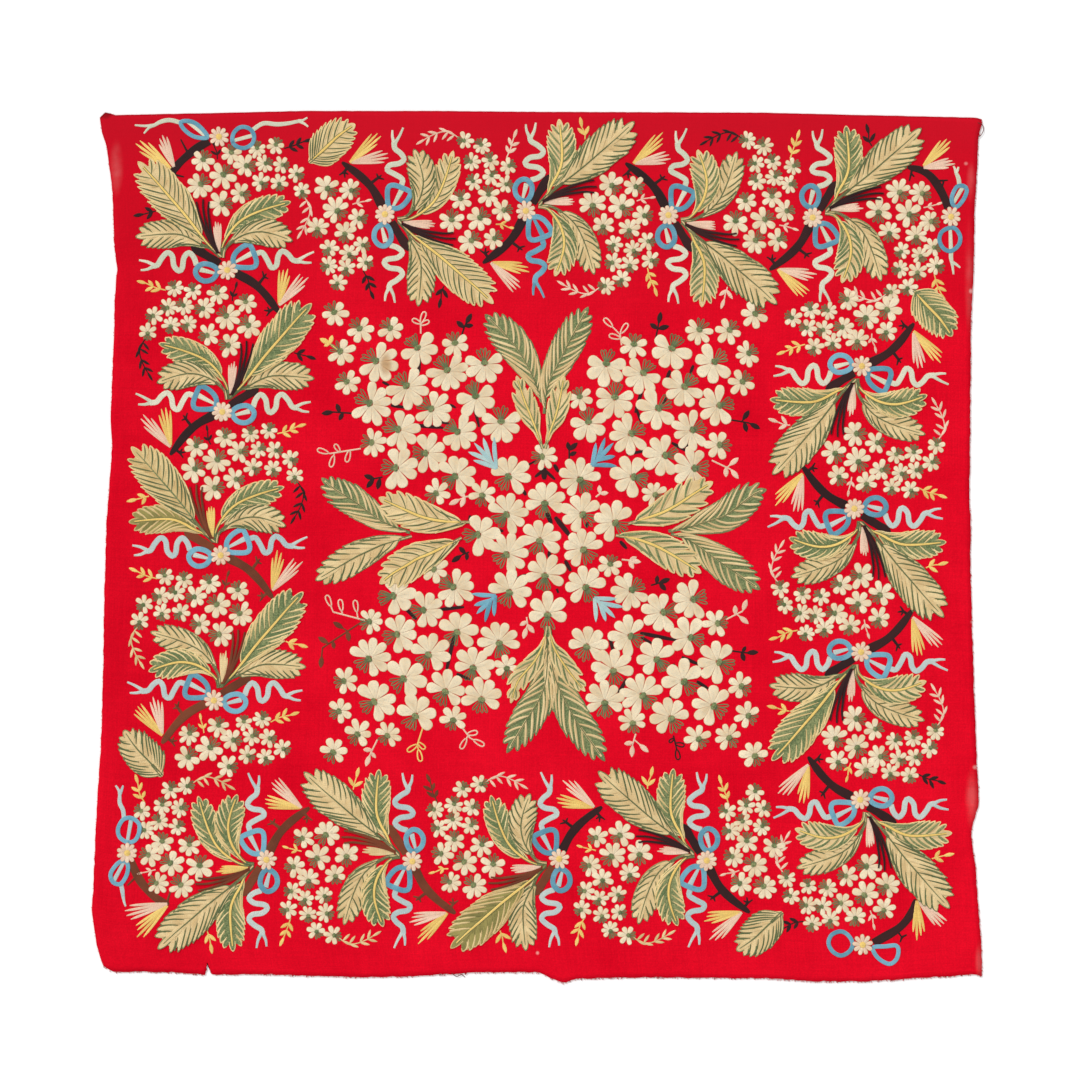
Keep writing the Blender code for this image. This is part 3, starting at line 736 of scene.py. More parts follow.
def wool_material():
    """Felted red wool: a fine plain weave under a short nap, darker towards the top and the left, worn
    by the edges.
    """
    look = Shader("red_wool", 0.9, 0.0, 0.02)
    right, up = look.axes(look.node("UVMap", uv_map="Stitch").outputs[0])
    threads = [look.math("SINE", look.times(axis, math.tau / THREADS)) for axis in (right, up)]
    nap = look.noise(1500.0, 3.0, 0.7)
    slow = look.noise(9.0, 3.0)
    uneven = look.noise(45.0, 3.0)
    weave = look.times(look.times(*threads), 0.5)
    look.bump(look.plus(weave, look.times(nap, 1.2)), 0.00016, 0.7)
    share = look.plus(look.times(slow, 1.4), look.times(uneven, 0.5))
    colour = look.mix(look.remap(share, 0.6, 1.3), srgb(226, 12, 37), srgb(208, 5, 30))
    for scale_x, scale_y in ((0.7, 0.015), (0.015, 0.7)):  # uneven threads, both ways
        vector = look.feed(look.node("CombineXYZ"), look.times(right, scale_x), look.times(up, scale_y))
        slub = look.noise(1.0, vector=vector[0])
        colour = look.shade(colour, slub, 0.25, 0.75, 0.93, 1.06)
    colour = look.shade(colour, nap, 0.3, 0.7, 0.86, 1.1)
    colour = look.shade(colour, look.noise(520.0), 0.3, 0.7, 0.9, 1.08)

    below_top = look.minus(WEAVE_UP, up)
    ragged = look.plus(below_top, look.times(look.minus(slow, 0.5), 60.0))
    # darker and duller towards the top edge, and a little darker towards the left edge
    colour = look.tint(colour, look.remap(ragged, 20.0, 75.0, 0.55, 0.0), (186, 24, 40))
    colour = look.tint(colour, look.remap(ragged, 130.0, 270.0, 0.5, 0.0), (196, 16, 34))
    colour = look.shade(colour, right, 20.0, 270.0, 0.935, 1.0)
    colour = look.shade(colour, ragged, 30.0, 230.0, 0.965, 1.0)
    colour = look.tint(colour, look.remap(below_top, 0.6, 2.4, 0.35, 0.0), (110, 8, 16))  # a thin dark line along the top edge
    for x, y, reach_x, reach_y, strength in WORN:
        spot = look.spot(x, y, reach_x, reach_y, 0.98)
        patchy = look.remap(uneven, 0.35, 0.65, 0.3 * strength, strength)
        colour = look.tint(colour, look.times(look.times(spot, spot), patchy), (246, 196, 190))
    # painted shadow of the lifted, folded top-left corner
    corner = look.times(look.spot(-523, 514, 9.0, 6.0, 0.7), 0.6)
    return look.finished(look.tint(colour, corner, (90, 16, 16)))


# ---------------------------------------------------------------- motifs

PETAL_GAP = 1.0  # how fast neighbouring petals go from overlapping to apart
BIG_BLOSSOM = 40.0  # blossoms wider than this are big ones, with more petals and stamens
# Blossoms, big or not: counts of petals to draw from, fan in degrees of 5, 6 and 7 petals, shares of the
# blossom's width (length and width of a petal, reach of a stamen, half of the hub), points and rings of
# a petal's mesh.
BLOSSOMS = {
    True: ((5, 6, 6, 7), (206, 218, 232), 0.5, 0.35, (0.28, 0.34), 0.1, 18, 2),
    False: ((5, 5, 6), (226, 226), 0.48, 0.315, (0.3, 0.37), 0.125, 14, 1),
}
STAMEN_FAN = math.radians(58)


class Needle:
    """Hands out the mesh of each yarn on the part of the cloth that is being worked."""

    def __init__(self):
        self.region = ""
        self.yarns = {}
        self.materials = {name: yarn_material(name) for name in YARNS}

    def yarn(self, name):
        key = (self.region, name)
        if key not in self.yarns:
            piece = f"{name}_stitches_{self.region}".replace(" ", "_")
            self.yarns[key] = Yarn(piece, self.materials[name], YARNS[name][-1])
        return self.yarns[key]

    def build(self):
        made = []
        for yarn in self.yarns.values():
            piece = yarn.build()
            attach(piece, "root")
            made.append(piece)
        return made


def ridge(needle, yarn, points, step, width, shares, lift, height, rows, tone):
    """Rows along the curve through the points. Shares of the width go with shares of the length."""
    path = curve(points, step)
    broad = width * np.interp(np.linspace(0, 1, len(path)), *shares)
    needle.yarn(yarn).strip(path, broad, lift, height, rows, tone)


def oval(middle, heading, size, long, wide, points):
    t = np.linspace(0, math.tau, points, endpoint=False)
    ahead, left = unit(heading), unit(heading + math.pi / 2)
    return middle + np.outer(np.cos(t) * size * long, ahead) + np.outer(np.sin(t) * size * wide, left)


def petal_outline(root, angle, length, width, points, spacing=math.pi, inset=0.0):
    """A petal from its root: narrow there, widest past the middle and round at the end.

    It stays clear of neighbours that are this spacing (an angle) away round a middle that lies
    the inset behind the root.
    """
    t = np.linspace(0, math.tau, points, endpoint=False)
    u = 0.5 - 0.5 * np.cos(t)  # 0 at the root, 1 at the tip
    side = np.sign(np.sin(t)) * np.abs(np.sin(t)) ** 0.8 * (0.55 + 0.45 * u) * width / 2
    room = (u * length + inset) * math.tan(min(spacing, 2.8) / 2) + 0.5 * (0.6 - u) * PETAL_GAP
    room = np.maximum(room, 0.7)
    side = np.clip(side, -room, room)
    way = unit(angle)
    left = np.array([-way[1], way[0]])
    return np.asarray(root) + np.outer(u * length, way) + np.outer(side, left)


def stitch_blossom(needle, place, across, heading, key):
    """Cream petals in a fan, a green hub and thin looped stamens on the open side."""
    rng = dice("blossom", key)
    big = across > BIG_BLOSSOM
    counts, fans, length, width, stamen_reach, hub_width, points, rings = BLOSSOMS[big]
    heading += rng.uniform(-0.12, 0.12)
    petals = rng.choice(counts)
    fan = math.radians(fans[petals - 5])
    length = across * length
    width = across * width * (5 / petals) ** 0.6
    inset = across * 0.03
    hub = place + unit(heading) * across * 0.03
    root = place - unit(heading) * across * 0.01
    for i in range(petals):
        angle = heading + math.pi + (i / (petals - 1) - 0.5) * fan + rng.uniform(-0.035, 0.035)
        reach = length * rng.uniform(0.9, 1.07) - inset
        outline = petal_outline(root + unit(angle) * inset, angle, reach,
                                width * rng.uniform(0.94, 1.08), points, fan / (petals - 1), inset)
        lift = LIFTS["fill"] + 0.06 * (i % 2)
        needle.yarn("blossom").pad(outline, lift, 0.3, rng.uniform(0.1, 0.6), rings)
    stamens = rng.choice((4, 4, 5)) if big else 3
    for i in range(stamens):
        angle = heading + (i / (stamens - 1) - 0.5) * STAMEN_FAN + rng.uniform(-0.06, 0.06)
        start = hub + unit(angle) * across * 0.04
        reach = across * rng.uniform(*stamen_reach)
        loop = petal_outline(start, angle, reach, across * 0.06 + 1.0, 10)
        needle.yarn("stamen").strip(loop, 1.25, LIFTS["bed"], 0.3, 1, rng.random(), True)
    ring = oval(hub, heading, across * hub_width, 0.65, 0.95, 12)
    needle.yarn("green").pad(ring, LIFTS["top"] + 0.3, 0.35, rng.uniform(0.2, 0.7), 1)


# Kinds of leaf: yarns of its fill and its outline, yarn and width of the rows that show on its fingers
# or in the notches between them, yarn of its vein.
LEAF_YARNS = {
    "cream": ("cream", "edge", "dark green", 1.7, "middle", "yellow"),
    "lined": ("cream", "green", "dark green", 1.7, "notch", "dark green"),
    "mixed": ("cream", "edge", "green", 3.0, "middle", "yellow"),
    "green": ("green", "edge", "edge", 1.7, "notch", "yellow"),
    "olive": ("olive", "tan", "tan", 2.2, "notch", "yellow"),
    "tan": ("tan", "edge", "dark green", 2.0, "middle", "green"),
    "striped": ("green", "", "cream", 2.9, "middle", "edge"),
    "edged": ("cream", "edge", "green", 2.3, "middle", "yellow"),
    "pale": ("cream", "green", "dark green", 1.8, "notch", "dark green"),
}
# Outlines of leaves: shares of the half width at shares of the length, the first finger's tip and
# where the stalk ends.
LEAF_OUTLINES = {
    "usual": (((0.0, 0.2, 0.3, 0.42, 0.55, 0.68, 0.8, 0.9, 0.96, 1.0),
               (0.06, 0.14, 0.33, 0.66, 0.92, 1.0, 0.98, 0.83, 0.56, 0.18)), 0.44, 0.26),
    "spear": (((0.0, 0.1, 0.2, 0.35, 0.5, 0.68, 0.82, 0.92, 1.0),
               (0.1, 0.25, 0.45, 0.74, 0.93, 1.0, 0.92, 0.68, 0.18)), 0.34, 0.12),
    "slender": (((0.0, 0.2, 0.3, 0.42, 0.6, 0.78, 0.9, 1.0),
                 (0.1, 0.16, 0.45, 0.85, 1.0, 0.95, 0.7, 0.16)), 0.34, 0.12),
    "round": (((0.0, 0.08, 0.2, 0.4, 0.6, 0.8, 0.92, 1.0),
               (0.2, 0.55, 0.88, 1.0, 1.0, 0.88, 0.6, 0.25)), 0.3, 0.26),
}
FINGER_AT = np.array((0.0, 0.16, 0.33, 0.5, 0.66, 0.8, 0.92, 1.0))
FINGER_SHAPE = np.array((0.25, 0.6, 0.88, 1.0, 0.97, 0.76, 0.42, 0.05))
LINE_SHAPE = np.array((0.4, 0.8, 1.0, 1.0, 0.9, 0.7, 0.35))
TIP_AT = np.array((0.72, 0.78, 0.84, 0.89, 0.93, 0.96, 0.985, 1.0))
TIP_SHAPE = np.array((0.5, 0.9, 1.0, 1.0, 0.95, 0.78, 0.46, 0.06))
LAST_FINGER = 0.95  # share of the leaf's length at the tips of its last fingers
BORDER_IN = 0.3  # how far an outline's row lies inside the edge of what it goes round


class Leaf:
    """Fingers that sweep forward from a vein. One side is toothed and the other nearly even."""

    def __init__(self, needle, vein_points, width, fingers, style, key, above=0.0, outline="usual"):
        self.needle, self.width, self.style, self.above = needle, width, style, above
        self.rng = dice("leaf", key)
        self.path = curve(vein_points, 1.5)
        self.lefts = normals(self.path)
        self.along = distances(self.path)
        self.length = self.along[-1]
        self.fill, self.edge, self.line, self.line_width, self.line_place, self.vein = LEAF_YARNS[style]
        self.shape, first_tip, self.stalk_end = LEAF_OUTLINES[outline]
        self.sweeps, self.more_sweep = (21, 32, 38) if self.edge else (20, 26, 32), 6
        if outline == "slender":
            self.sweeps, self.more_sweep = (18, 24, 20), 0
        self.tips = first_tip + (LAST_FINGER - first_tip) * np.linspace(0, 1, fingers) ** 0.9
        self.gap = (LAST_FINGER - first_tip) / (fingers - 1) * self.length

    def stitch(self):
        self.stitch_bed()
        toothed = self.rng.choice((1, -1))
        for side in (1, -1):
            self.stitch_fingers(side, side == toothed)
        self.stitch_tip()
        self.stitch_vein()

    def lay(self, yarn, path, wide, lift, height, rows=1, tone=None):
        """Rows on the leaf, in a random tone if none is given."""
        tone = self.rng.random() if tone is None else tone
        self.needle.yarn(yarn).strip(path, wide, lift + self.above, height, rows, tone)

    def at(self, share, off=None):
        """Places at shares of the vein's length, and this far to its left."""
        where = share * self.length
        place, left = [
            np.stack([np.interp(where, self.along, table[:, i]) for i in (0, 1)], -1)
            for table in (self.path, self.lefts)
        ]
        return place if off is None else place + left * np.reshape(off, (-1, 1))

    def half(self, share):
        return self.width / 2 * np.interp(share, *self.shape)

    def stitch_bed(self):
        share = np.linspace(0.0, 0.92, 16)
        inner = np.maximum(2 * self.half(share) - 10.0, 3.4 * min(1.0, self.width / 30))
        self.lay(self.fill, self.at(share), inner, LIFTS["bed"], 0.2, 6, self.rng.uniform(0.3, 0.6))

    def finger(self, number, u_tip, side, toothed):
        """The middle line of a finger, whose tip is at this share of the length, and its widths."""
        sweep = np.interp(u_tip, (0.4, 0.7, 1.0), self.sweeps) + (0 if toothed else self.more_sweep)
        sweep = math.radians(sweep)
        lateral = self.half(u_tip) * self.rng.uniform(0.95, 1.06) * (1.0 if toothed else 0.94)
        reach = lateral / math.tan(sweep) / self.length
        u_root = max(u_tip - reach - 0.01, 0.03 + 0.04 * number)
        broad = min(self.gap * math.sin(sweep) * 1.3 + 0.6, 7.8) * FINGER_SHAPE
        broad = np.maximum(broad, 0.3)
        u = u_root + (u_tip - u_root) * FINGER_AT
        room = self.half(u) - broad / 2
        room[-1] = lateral
        belly = 0.1 if toothed else 0.3
        off = lateral * FINGER_AT * (1 + 2 * belly * (1 - FINGER_AT))
        off = np.clip(off, 0, np.maximum(room, 0))
        return self.at(u, side * off), broad

    def stitch_fingers(self, side, toothed):
        rng, edge, line_lift = self.rng, self.edge, LIFTS["line"]
        before = None
        for i, u_tip in enumerate(self.tips):
            path, broad = self.finger(i, u_tip, side, toothed)
            if not edge:
                broad = broad * FINGER_SHAPE**-0.35
            lift = LIFTS["fill"] + 0.03 * (i % 3)
            self.lay(self.fill, path, broad, lift, 0.28, 2, rng.uniform(0.05, 0.9))
            if edge:
                thick = 1.1 if edge == "green" else 1.5
                for hand, first in ((side, 2 if i else 0), (-side, 5)):
                    border = beside(path, hand * (broad / 2 - BORDER_IN))
                    self.lay(edge, border[first:], thick, line_lift - 0.1, 0.22)
            if self.line_place == "middle":
                wide = np.minimum(self.line_width * LINE_SHAPE, broad[:7] * (0.6 if edge else 1.4))
                wide *= rng.uniform(0.75, 1.1)
                self.lay(self.line, path[:7], wide, line_lift + (0.0 if edge else 0.2), 0.25)
            elif before is not None:
                notch = ((path + before) / 2)[rng.choice((0, 1, 1, 2)) : 7]
                wide = self.line_width * np.interp(np.linspace(0, 1, len(notch)), (0, 0.3, 0.8, 1),
                                                   (0.4, 0.95, 1.0, 0.8))
                self.lay(self.line, notch, wide, line_lift, 0.25)
            before = path

    def stitch_tip(self):
        wide = min(9.0, self.width * 0.22) * TIP_SHAPE
        path = self.at(TIP_AT)
        self.lay(self.fill, path, wide, LIFTS["fill"] + 0.1, 0.3, 3, 0.4)
        if self.style == "striped":
            self.lay(self.line, path[:6], 2.2, LIFTS["line"] + 0.2, 0.25, 1, 0.5)
        if self.edge:
            for hand in (1, -1):
                border = beside(path, hand * (wide / 2 - BORDER_IN))
                self.lay(self.edge, border[3:], 1.3, LIFTS["line"] - 0.05, 0.22)

    def stitch_vein(self):
        share = np.linspace(0.1, 0.94, 14)
        yellow = self.vein == "yellow"
        thick = min(1.0, self.width / 36) * (1.0 if yellow else 0.55)
        broad = np.interp(share, (0.1, 0.3, 0.65, 1), (1.2, 3.0, 2.7, 1.3)) * thick
        tone = self.rng.uniform(0.1, 0.5)
        self.lay(self.vein, self.at(share), broad, LIFTS["vein"], 0.35, 2 if yellow else 1, tone)
        stalk = np.linspace(0.0, self.stalk_end, 6)
        dark = "dark green" if self.line in ("dark green", "edge", "tan") else "green"
        for hand in (1, -1):
            self.lay(dark, self.at(stalk, hand * 1.3), 1.0, LIFTS["line"], 0.2)
            if yellow:
                border = self.at(share[2:], hand * (broad[2:] / 2 + BORDER_IN))
                self.lay(dark, border, 0.8, LIFTS["line"], 0.3)
        if self.style == "striped":
            self.lay("dark green", self.at(share), 1.1, LIFTS["top"] + 0.3, 0.2, 1, 0.5)


def tapered(needle, yarn, path, start, end, key, rows=3, ends=1.0):
    """A branch, stem or finger that narrows along its path, and at both ends to a share of its width."""
    path = curve(path, 4.0)
    u = np.linspace(0, 1, len(path))
    broad = (start + (end - start) * u) * np.interp(u, (0, 0.25, 0.75, 1), (ends, 1, 1, ends))
    needle.yarn(yarn).strip(path, broad, LIFTS["stem"], 0.42, rows, dice("tapered", key).random())


def stitch_branch(needle, yarn, path, start, end, key):
    """A thick branch with a cut and narrowed far end."""
    path = curve(path, 3.0)
    u = np.linspace(0, 1, len(path))
    broad = np.interp(u, (0, 1), (start, end)) * np.interp(u, (0, 0.06, 0.2, 1), (0.35, 0.75, 1, 1))
    broad *= 1 + 0.06 * np.sin(u * 11 + dice("bark", key).uniform(0, 6))
    needle.yarn(yarn).strip(path, broad, LIFTS["stem"], 0.5, 5, dice("branch", key).random())


def stitch_leaflet(needle, yarn, root, angle, length, width, key, open_loop=False):
    rng = dice("leaflet", key)
    if open_loop:
        loop = petal_outline(root, angle, length, width, 12)
        needle.yarn(yarn).strip(loop, 1.7, LIFTS["stem"], 0.4, 1, rng.random(), True)
        return
    path = np.array([np.asarray(root) + unit(angle) * length * u for u in (0, 0.3, 0.55, 0.8, 1)])
    shape = np.array([0.25, 0.85, 1.0, 0.7, 0.12])
    needle.yarn(yarn).strip(path, width * shape, LIFTS["stem"], 0.45, 2, rng.random())


def stitch_spray_sprig(needle, yarn, spray, name, key):
    """A thin stem with pairs of leaflets and one at its end."""
    root, tip, pairs, length = SPRAY_SPRIGS[name]
    root, tip, key = spray(root), spray(tip), (key, name)
    rng = dice("sprig", key)
    angle = angle_of(tip - root)
    reach = np.linalg.norm(tip - root)
    stem_end = tip - unit(angle) * length * 0.7
    bow = unit(angle + math.pi / 2) * reach * rng.uniform(-0.08, 0.08)
    path = curve((root, (root + stem_end) / 2 + bow, stem_end), 3.0)
    needle.yarn(yarn).strip(path, 1.5, LIFTS["stem"], 0.35, 1, rng.random())
    for i in range(pairs):
        at = path[int((i + 0.6) / (pairs + 0.3) * (len(path) - 1))]
        for side in (1, -1):
            lean = angle + side * math.radians(rng.uniform(32, 48))
            stitch_leaflet(needle, yarn, at, lean, length * rng.uniform(0.8, 1.05), length * 0.36,
                           (key, i, side))
    end_angle = angle + rng.uniform(-0.1, 0.1)
    stitch_leaflet(needle, yarn, stem_end, end_angle, length, length * 0.36, (key, "end"))


def stitch_long_sprig(needle, yarn, spray, key):
    """The arched leafy sprig that trails back from a bunch."""
    path = curve(spray.all(LONG_SPRIG), 3.0)
    needle.yarn(yarn).strip(path, 1.4, LIFTS["stem"], 0.35, 1, dice(key).random())
    for i in range(4):
        at = path[round((i + 0.8) / 4.6 * (len(path) - 1))]
        angle = angle_of(path[-1] - (at if i < 3 else path[-4]))
        for side in (1, -1):
            lean = angle + side * math.radians(dice(key, i, side).uniform(30, 44))
            stitch_leaflet(needle, yarn, at, lean, 12.0, 3.3, (key, i, side))
    stitch_leaflet(needle, yarn, path[-1], angle_of(path[-1] - path[-3]), 12.5, 3.3, key)


def stitch_rosette(needle, place, key):
    """A small daisy that pins the bow, with a yellow knot."""
    rng = dice("rosette", key)
    petals = rng.choice((9, 10))
    start = rng.random()
    for i in range(petals):
        angle = start + math.tau * i / petals
        root = np.array(place) + unit(angle) * 2.2
        outline = petal_outline(root, angle, 10.4 * rng.uniform(0.92, 1.06), 6.8, 10)
        needle.yarn("rosette").pad(outline, LIFTS["top"] + 0.06 * (i % 2), 0.4, rng.random(), 1)
    needle.yarn("yellow").pad(oval(place, 0.0, 3.9, 1.0, 1.0, 10), LIFTS["top"] + 0.5, 0.3, 0.3, 1)


def stitch_bract(needle, yarn, base, tip, key, spread=6.8, width=3.3):
    """Four fingers fused for most of their length, as of a half-open bud."""
    rng = dice("bract", key)
    base, tip = np.array(base, float), np.array(tip, float)
    length = np.linalg.norm(tip - base)
    angle = angle_of(tip - base)
    left = unit(angle + math.pi / 2)
    for i, side in enumerate((-1.5, -0.5, 0.5, 1.5)):
        reach = length * (1.03 - 0.1 * abs(side) - rng.uniform(0, 0.14))
        end = base + unit(angle + math.radians(spread) * side) * reach
        middle = base + (end - base) * 0.5 + left * side * width * 0.12
        ridge(needle, yarn, (base + left * side * 0.5, middle, end), 4.0, width,
              ((0, 0.2, 0.6, 0.85, 1), (0.5, 0.8, 1.0, 0.9, 0.3)), LIFTS["fill"] + 0.04 * (i % 2),
              0.4, 3, rng.random())


def stitch_bow_loop(needle, path, key, width=6.2):
    path = curve(path, 2.6, closed=True)
    needle.yarn("blue").strip(path, width, LIFTS["line"], 0.42, 4, dice(key).random(), closed=True)


def stitch_ribbon(needle, yarn, path, key, width=6.6, end=1.0):
    ridge(needle, yarn, path, 2.6, width, ((0, 0.6, 1), (1.0, 1.0, end)), LIFTS["stem"], 0.45, 4,
          dice("ribbon", key).random())


# ---------------------------------------------------------------- the border's work


class Spray:
    """Turns places (s, t) of a spray into (x, y) on the cloth."""

    def __init__(self, degrees, mirrored, place):
        self.turn = math.radians(degrees)
        self.flip = -1 if mirrored else 1
        self.place = np.array(place, float)

    def __call__(self, point):
        s, t = point[0], point[1] * self.flip
        cos, sin = math.cos(self.turn), math.sin(self.turn)
        return self.place + (s * cos - t * sin, s * sin + t * cos)

    def all(self, points):
        return [self(p) for p in points]

    def heading(self, degrees):
        return math.radians(degrees) * self.flip + self.turn


def stitch_bunch(needle, spray, long_sprig, last_sprig, tiny, key, skip=()):
    """The blossoms of a spray with the sprigs among them, each in its own yarn."""
    for i, (s, t, size, heading) in enumerate(SPRAY_BLOSSOMS):
        if i in skip:
            continue
        rng = dice("bunch", key, i)
        place = spray((s + rng.uniform(-1, 1), t + rng.uniform(-1, 1)))
        across = SIZE_ACROSS[size] * rng.uniform(0.96, 1.05)
        stitch_blossom(needle, place, across, spray.heading(heading), (key, i))
    if long_sprig:
        stitch_long_sprig(needle, long_sprig, spray, (key, "long"))
    stitch_spray_sprig(needle, last_sprig, spray, "last", key)
    stitch_spray_sprig(needle, tiny, spray, "tiny", key)


def stitch_bow(needle, spray, yarn, other_yarn, key):
    """The two loops of a bow, each with its wavy ribbon, two tails and the strip inside it.

    The yarn is that of the outer ribbon, and the other one that of the inner ribbon.
    """
    halves = (
        ("inner", other_yarn, INNER_RIBBON, INNER_TAILS),
        ("outer", yarn, OUTER_RIBBON, OUTER_TAILS),
    )
    for name, colour, ribbon, _tails in halves:
        stitch_ribbon(needle, colour, spray.all(ribbon), (key, name))
    for _name, colour, _ribbon, tails in halves:
        for i, tail in enumerate(tails):
            tapered(needle, colour, spray.all(tail), 4.6, 2.2, (key, "tail", i), rows=2)
    stitch_bow_loop(needle, spray.all(OUTER_LOOP), (key, "loop"))
    stitch_bow_loop(needle, spray.all(INNER_LOOP), (key, "other loop"))
    for colour, strip in zip((yarn, other_yarn), LOOP_STRIPS):
        tapered(needle, colour, spray.all(strip), 3.0, 6.4, (key, strip[0]), rows=3)


def stitch_spray(needle, spray, leaves, sprig, bract, key):
    """Branches, stems, bracts, leaves, bow and ribbons of one bound spray."""
    incoming = "brown" if key in BROWN_IN else "black"
    outgoing = "brown" if key in BROWN_OUT else "black"
    stitch_branch(needle, incoming, spray.all(BRANCH_IN), *IN_WIDTHS, (key, "in"))
    stitch_branch(needle, outgoing, spray.all(BRANCH_OUT), *OUT_WIDTHS, (key, "out"))
    for base, fork, tips in TWIGS:
        tapered(needle, incoming, spray.all((base, fork)), 3.8, 3.2, (key, base), rows=2)
        for end in tips:
            tapered(needle, incoming, spray.all((fork, end)), 3.0, 1.4, (key, end), rows=1)
    for i, path in enumerate(STEMS):
        tone = dice(key, "stem", i).random()
        ridge(needle, outgoing, spray.all(path), 4.0, 1.0, STEM_WIDTHS, LIFTS["over"], 0.42, 3, tone)
    outer, inner = ("pink", "yellow") if key in PINK_OUTSIDE else ("yellow", "pink")
    for yarn, (name, base, tip, spread, width) in zip((outer, inner, bract), SPRAY_BRACTS):
        stitch_bract(needle, yarn, spray(base), spray(tip), (key, name), spread, width)
    for i, above in ((3, 0.0), (1, 0.0), (0, 0.7), (2, 0.7)):
        vein, width, fingers = SPRAY_LEAVES[i]
        Leaf(needle, spray.all(vein), width, fingers, leaves[i], (key, i), above).stitch()
    stitch_spray_sprig(needle, sprig, spray, "between", key)
    ribbon = "ribbon" if key in WARM_RIBBONS else "grey ribbon"
    stitch_bow(needle, spray, "blue" if key == BLUE_RIBBON else ribbon, ribbon, key)


def stitch_border(needle):
    for side, degrees, rosettes, (lone_leaf, last_sprig, tiny) in SIDES:
        needle.region = side
        first = Spray(degrees, False, rosettes[0])
        start = Spray(degrees, True, first(START_OF_SIDE))
        stitch_bunch(needle, start, "", last_sprig, tiny, (side, "start"), NOT_AT_START)
        vein, width, fingers = LONE_LEAF
        Leaf(needle, first.all(vein), width, fingers, lone_leaf, side, outline="round").stitch()
        for number, (place, row) in enumerate(zip(rosettes, SPRAY_YARNS[side])):
            leaves, (long_sprig, last_sprig, between, tiny, bract) = row[:4], row[4:]
            key = (side, number)
            spray = Spray(degrees, number % 2 == 1, place)
            stitch_spray(needle, spray, leaves, between, bract, key)
            stitch_bunch(needle, spray, long_sprig, last_sprig, tiny, key)
            stitch_rosette(needle, place, key)
        stitch_corner(needle, side, rosettes[-1])


def stitch_corner(needle, side, rosette):
    corner = CORNERS[side]
    branch = "brown" if side == "bottom" else "black"
    stitch_branch(needle, branch, corner["branch"], *CORNER_WIDTHS, (side, "corner"))
    for i, (base, tip, yarn) in enumerate(corner["bracts"]):
        stitch_bract(needle, yarn, base, tip, (side, "corner", i))
    for i, path in enumerate(corner["twigs"]):
        tapered(needle, branch, path, 3.0, 1.6, (side, "twig", i), rows=1)
    ribbon = "ribbon" if (side, "corner") in WARM_RIBBONS else "grey ribbon"
    for i, path in enumerate(corner["ribbons"]):
        stitch_ribbon(needle, ribbon, path, (side, "corner", i), 5.2, 0.75)
    for i, path in enumerate(corner["tails"]):
        tapered(needle, ribbon, path, 4.2, 2.0, (side, "tail", i), rows=2)
    for i, path in enumerate(corner["loops"]):
        if corner["ribbons"]:
            strip = (path[0], path[len(path) // 2])
            tapered(needle, ribbon, strip, 4.0, 5.0, (side, "strip", i))
        stitch_bow_loop(needle, path, (side, "corner", i), 5.0)
    stitch_rosette(needle, rosette, (side, "corner"))


# ---------------------------------------------------------------- the centre's work


def stitch_centre(needle):
    needle.region = "centre"
    for stems, origin, narrowing in ((CORE_STEMS, (0, 0), 0.85), (BUNCH_STEMS, CENTRE, 0.8)):
        for start, end, width in stems:
            path = np.array((start, end)) + origin
            tapered(needle, "black", path, width, width * narrowing, start, ends=0.6)
    for side_x in (1, -1):
        for side_y in (1, -1):
            for size, places in (("quarter small", QUARTER_SMALL), ("quarter large", QUARTER_LARGE)):
                for x, y in places:
                    stitch_quarter_blossom(needle, side_x * x, side_y * y, size)
    for x, y in ODD_SMALL:
        stitch_quarter_blossom(needle, x, y, "odd")
    for x, y, heading in CORE:
        place, across = np.add(CENTRE, (x, y)), SIZE_ACROSS["core"]
        stitch_blossom(needle, place, across, math.radians(heading), ("core", x, y))
    for i, (vein, width, fingers, style) in enumerate(CENTRE_LEAVES):
        above = 0.0 if style in ("striped", "pale") else 0.7
        outline = "slender" if style == "edged" else "spear"
        Leaf(needle, vein, width, fingers, style, ("centre", i), above, outline).stitch()
    for base, tips, yarn in BLUE_SPRAYS:
        spine = (np.mean(tips, axis=0) - base) * 0.34
        for tip, up_spine in zip(tips, (0.0, 0.8, 1.0, 0.8, 0.0)):
            start = base + spine * up_spine
            path = (start, (start + tip) / 2 + spine * 0.12, tip)
            if up_spine == 1.0:
                path = (base, *path)
            ridge(needle, yarn, path, 4.0, 5.6, ((0, 0.5, 0.8, 1), (0.6, 1, 0.85, 0.1)),
                  LIFTS["line"], 0.45, 3, dice(tip).random())
    for i, sprig in enumerate(CENTRE_SPRIGS):
        stitch_centre_sprig(needle, *sprig, i)


def stitch_centre_sprig(needle, base, stem_end, tips, yarn, open_loop, number):
    """A short stem with a leaflet on its end and others that leave it sideways."""
    base, stem_end = np.array(base, float), np.array(stem_end, float)
    reach = np.linalg.norm(stem_end - base)
    way = (stem_end - base) / reach
    needle.yarn(yarn).strip(curve((base, stem_end), 3.0), 1.9, LIFTS["stem"], 0.35)
    for i, tip in enumerate(tips):
        ahead = (np.array(tip) - base) @ way
        aside = abs(way[0] * (tip[1] - base[1]) - way[1] * (tip[0] - base[0]))
        root = stem_end if i == 0 else base + way * np.clip(ahead - 0.45 * aside, 0.15 * reach, reach)
        length = np.linalg.norm(tip - root)
        angle = angle_of(tip - root)
        if length > LONGEST_LEAFLET:
            start = tip - unit(angle) * LONGEST_LEAFLET
            needle.yarn(yarn).strip((root, start), 1.6, LIFTS["stem"], 0.35)
            root, length = start, LONGEST_LEAFLET
        width = min(6.8 if open_loop else 6.4, 0.55 * length)
        stitch_leaflet(needle, yarn, root, angle, length, width, ("centre", number, i), open_loop)


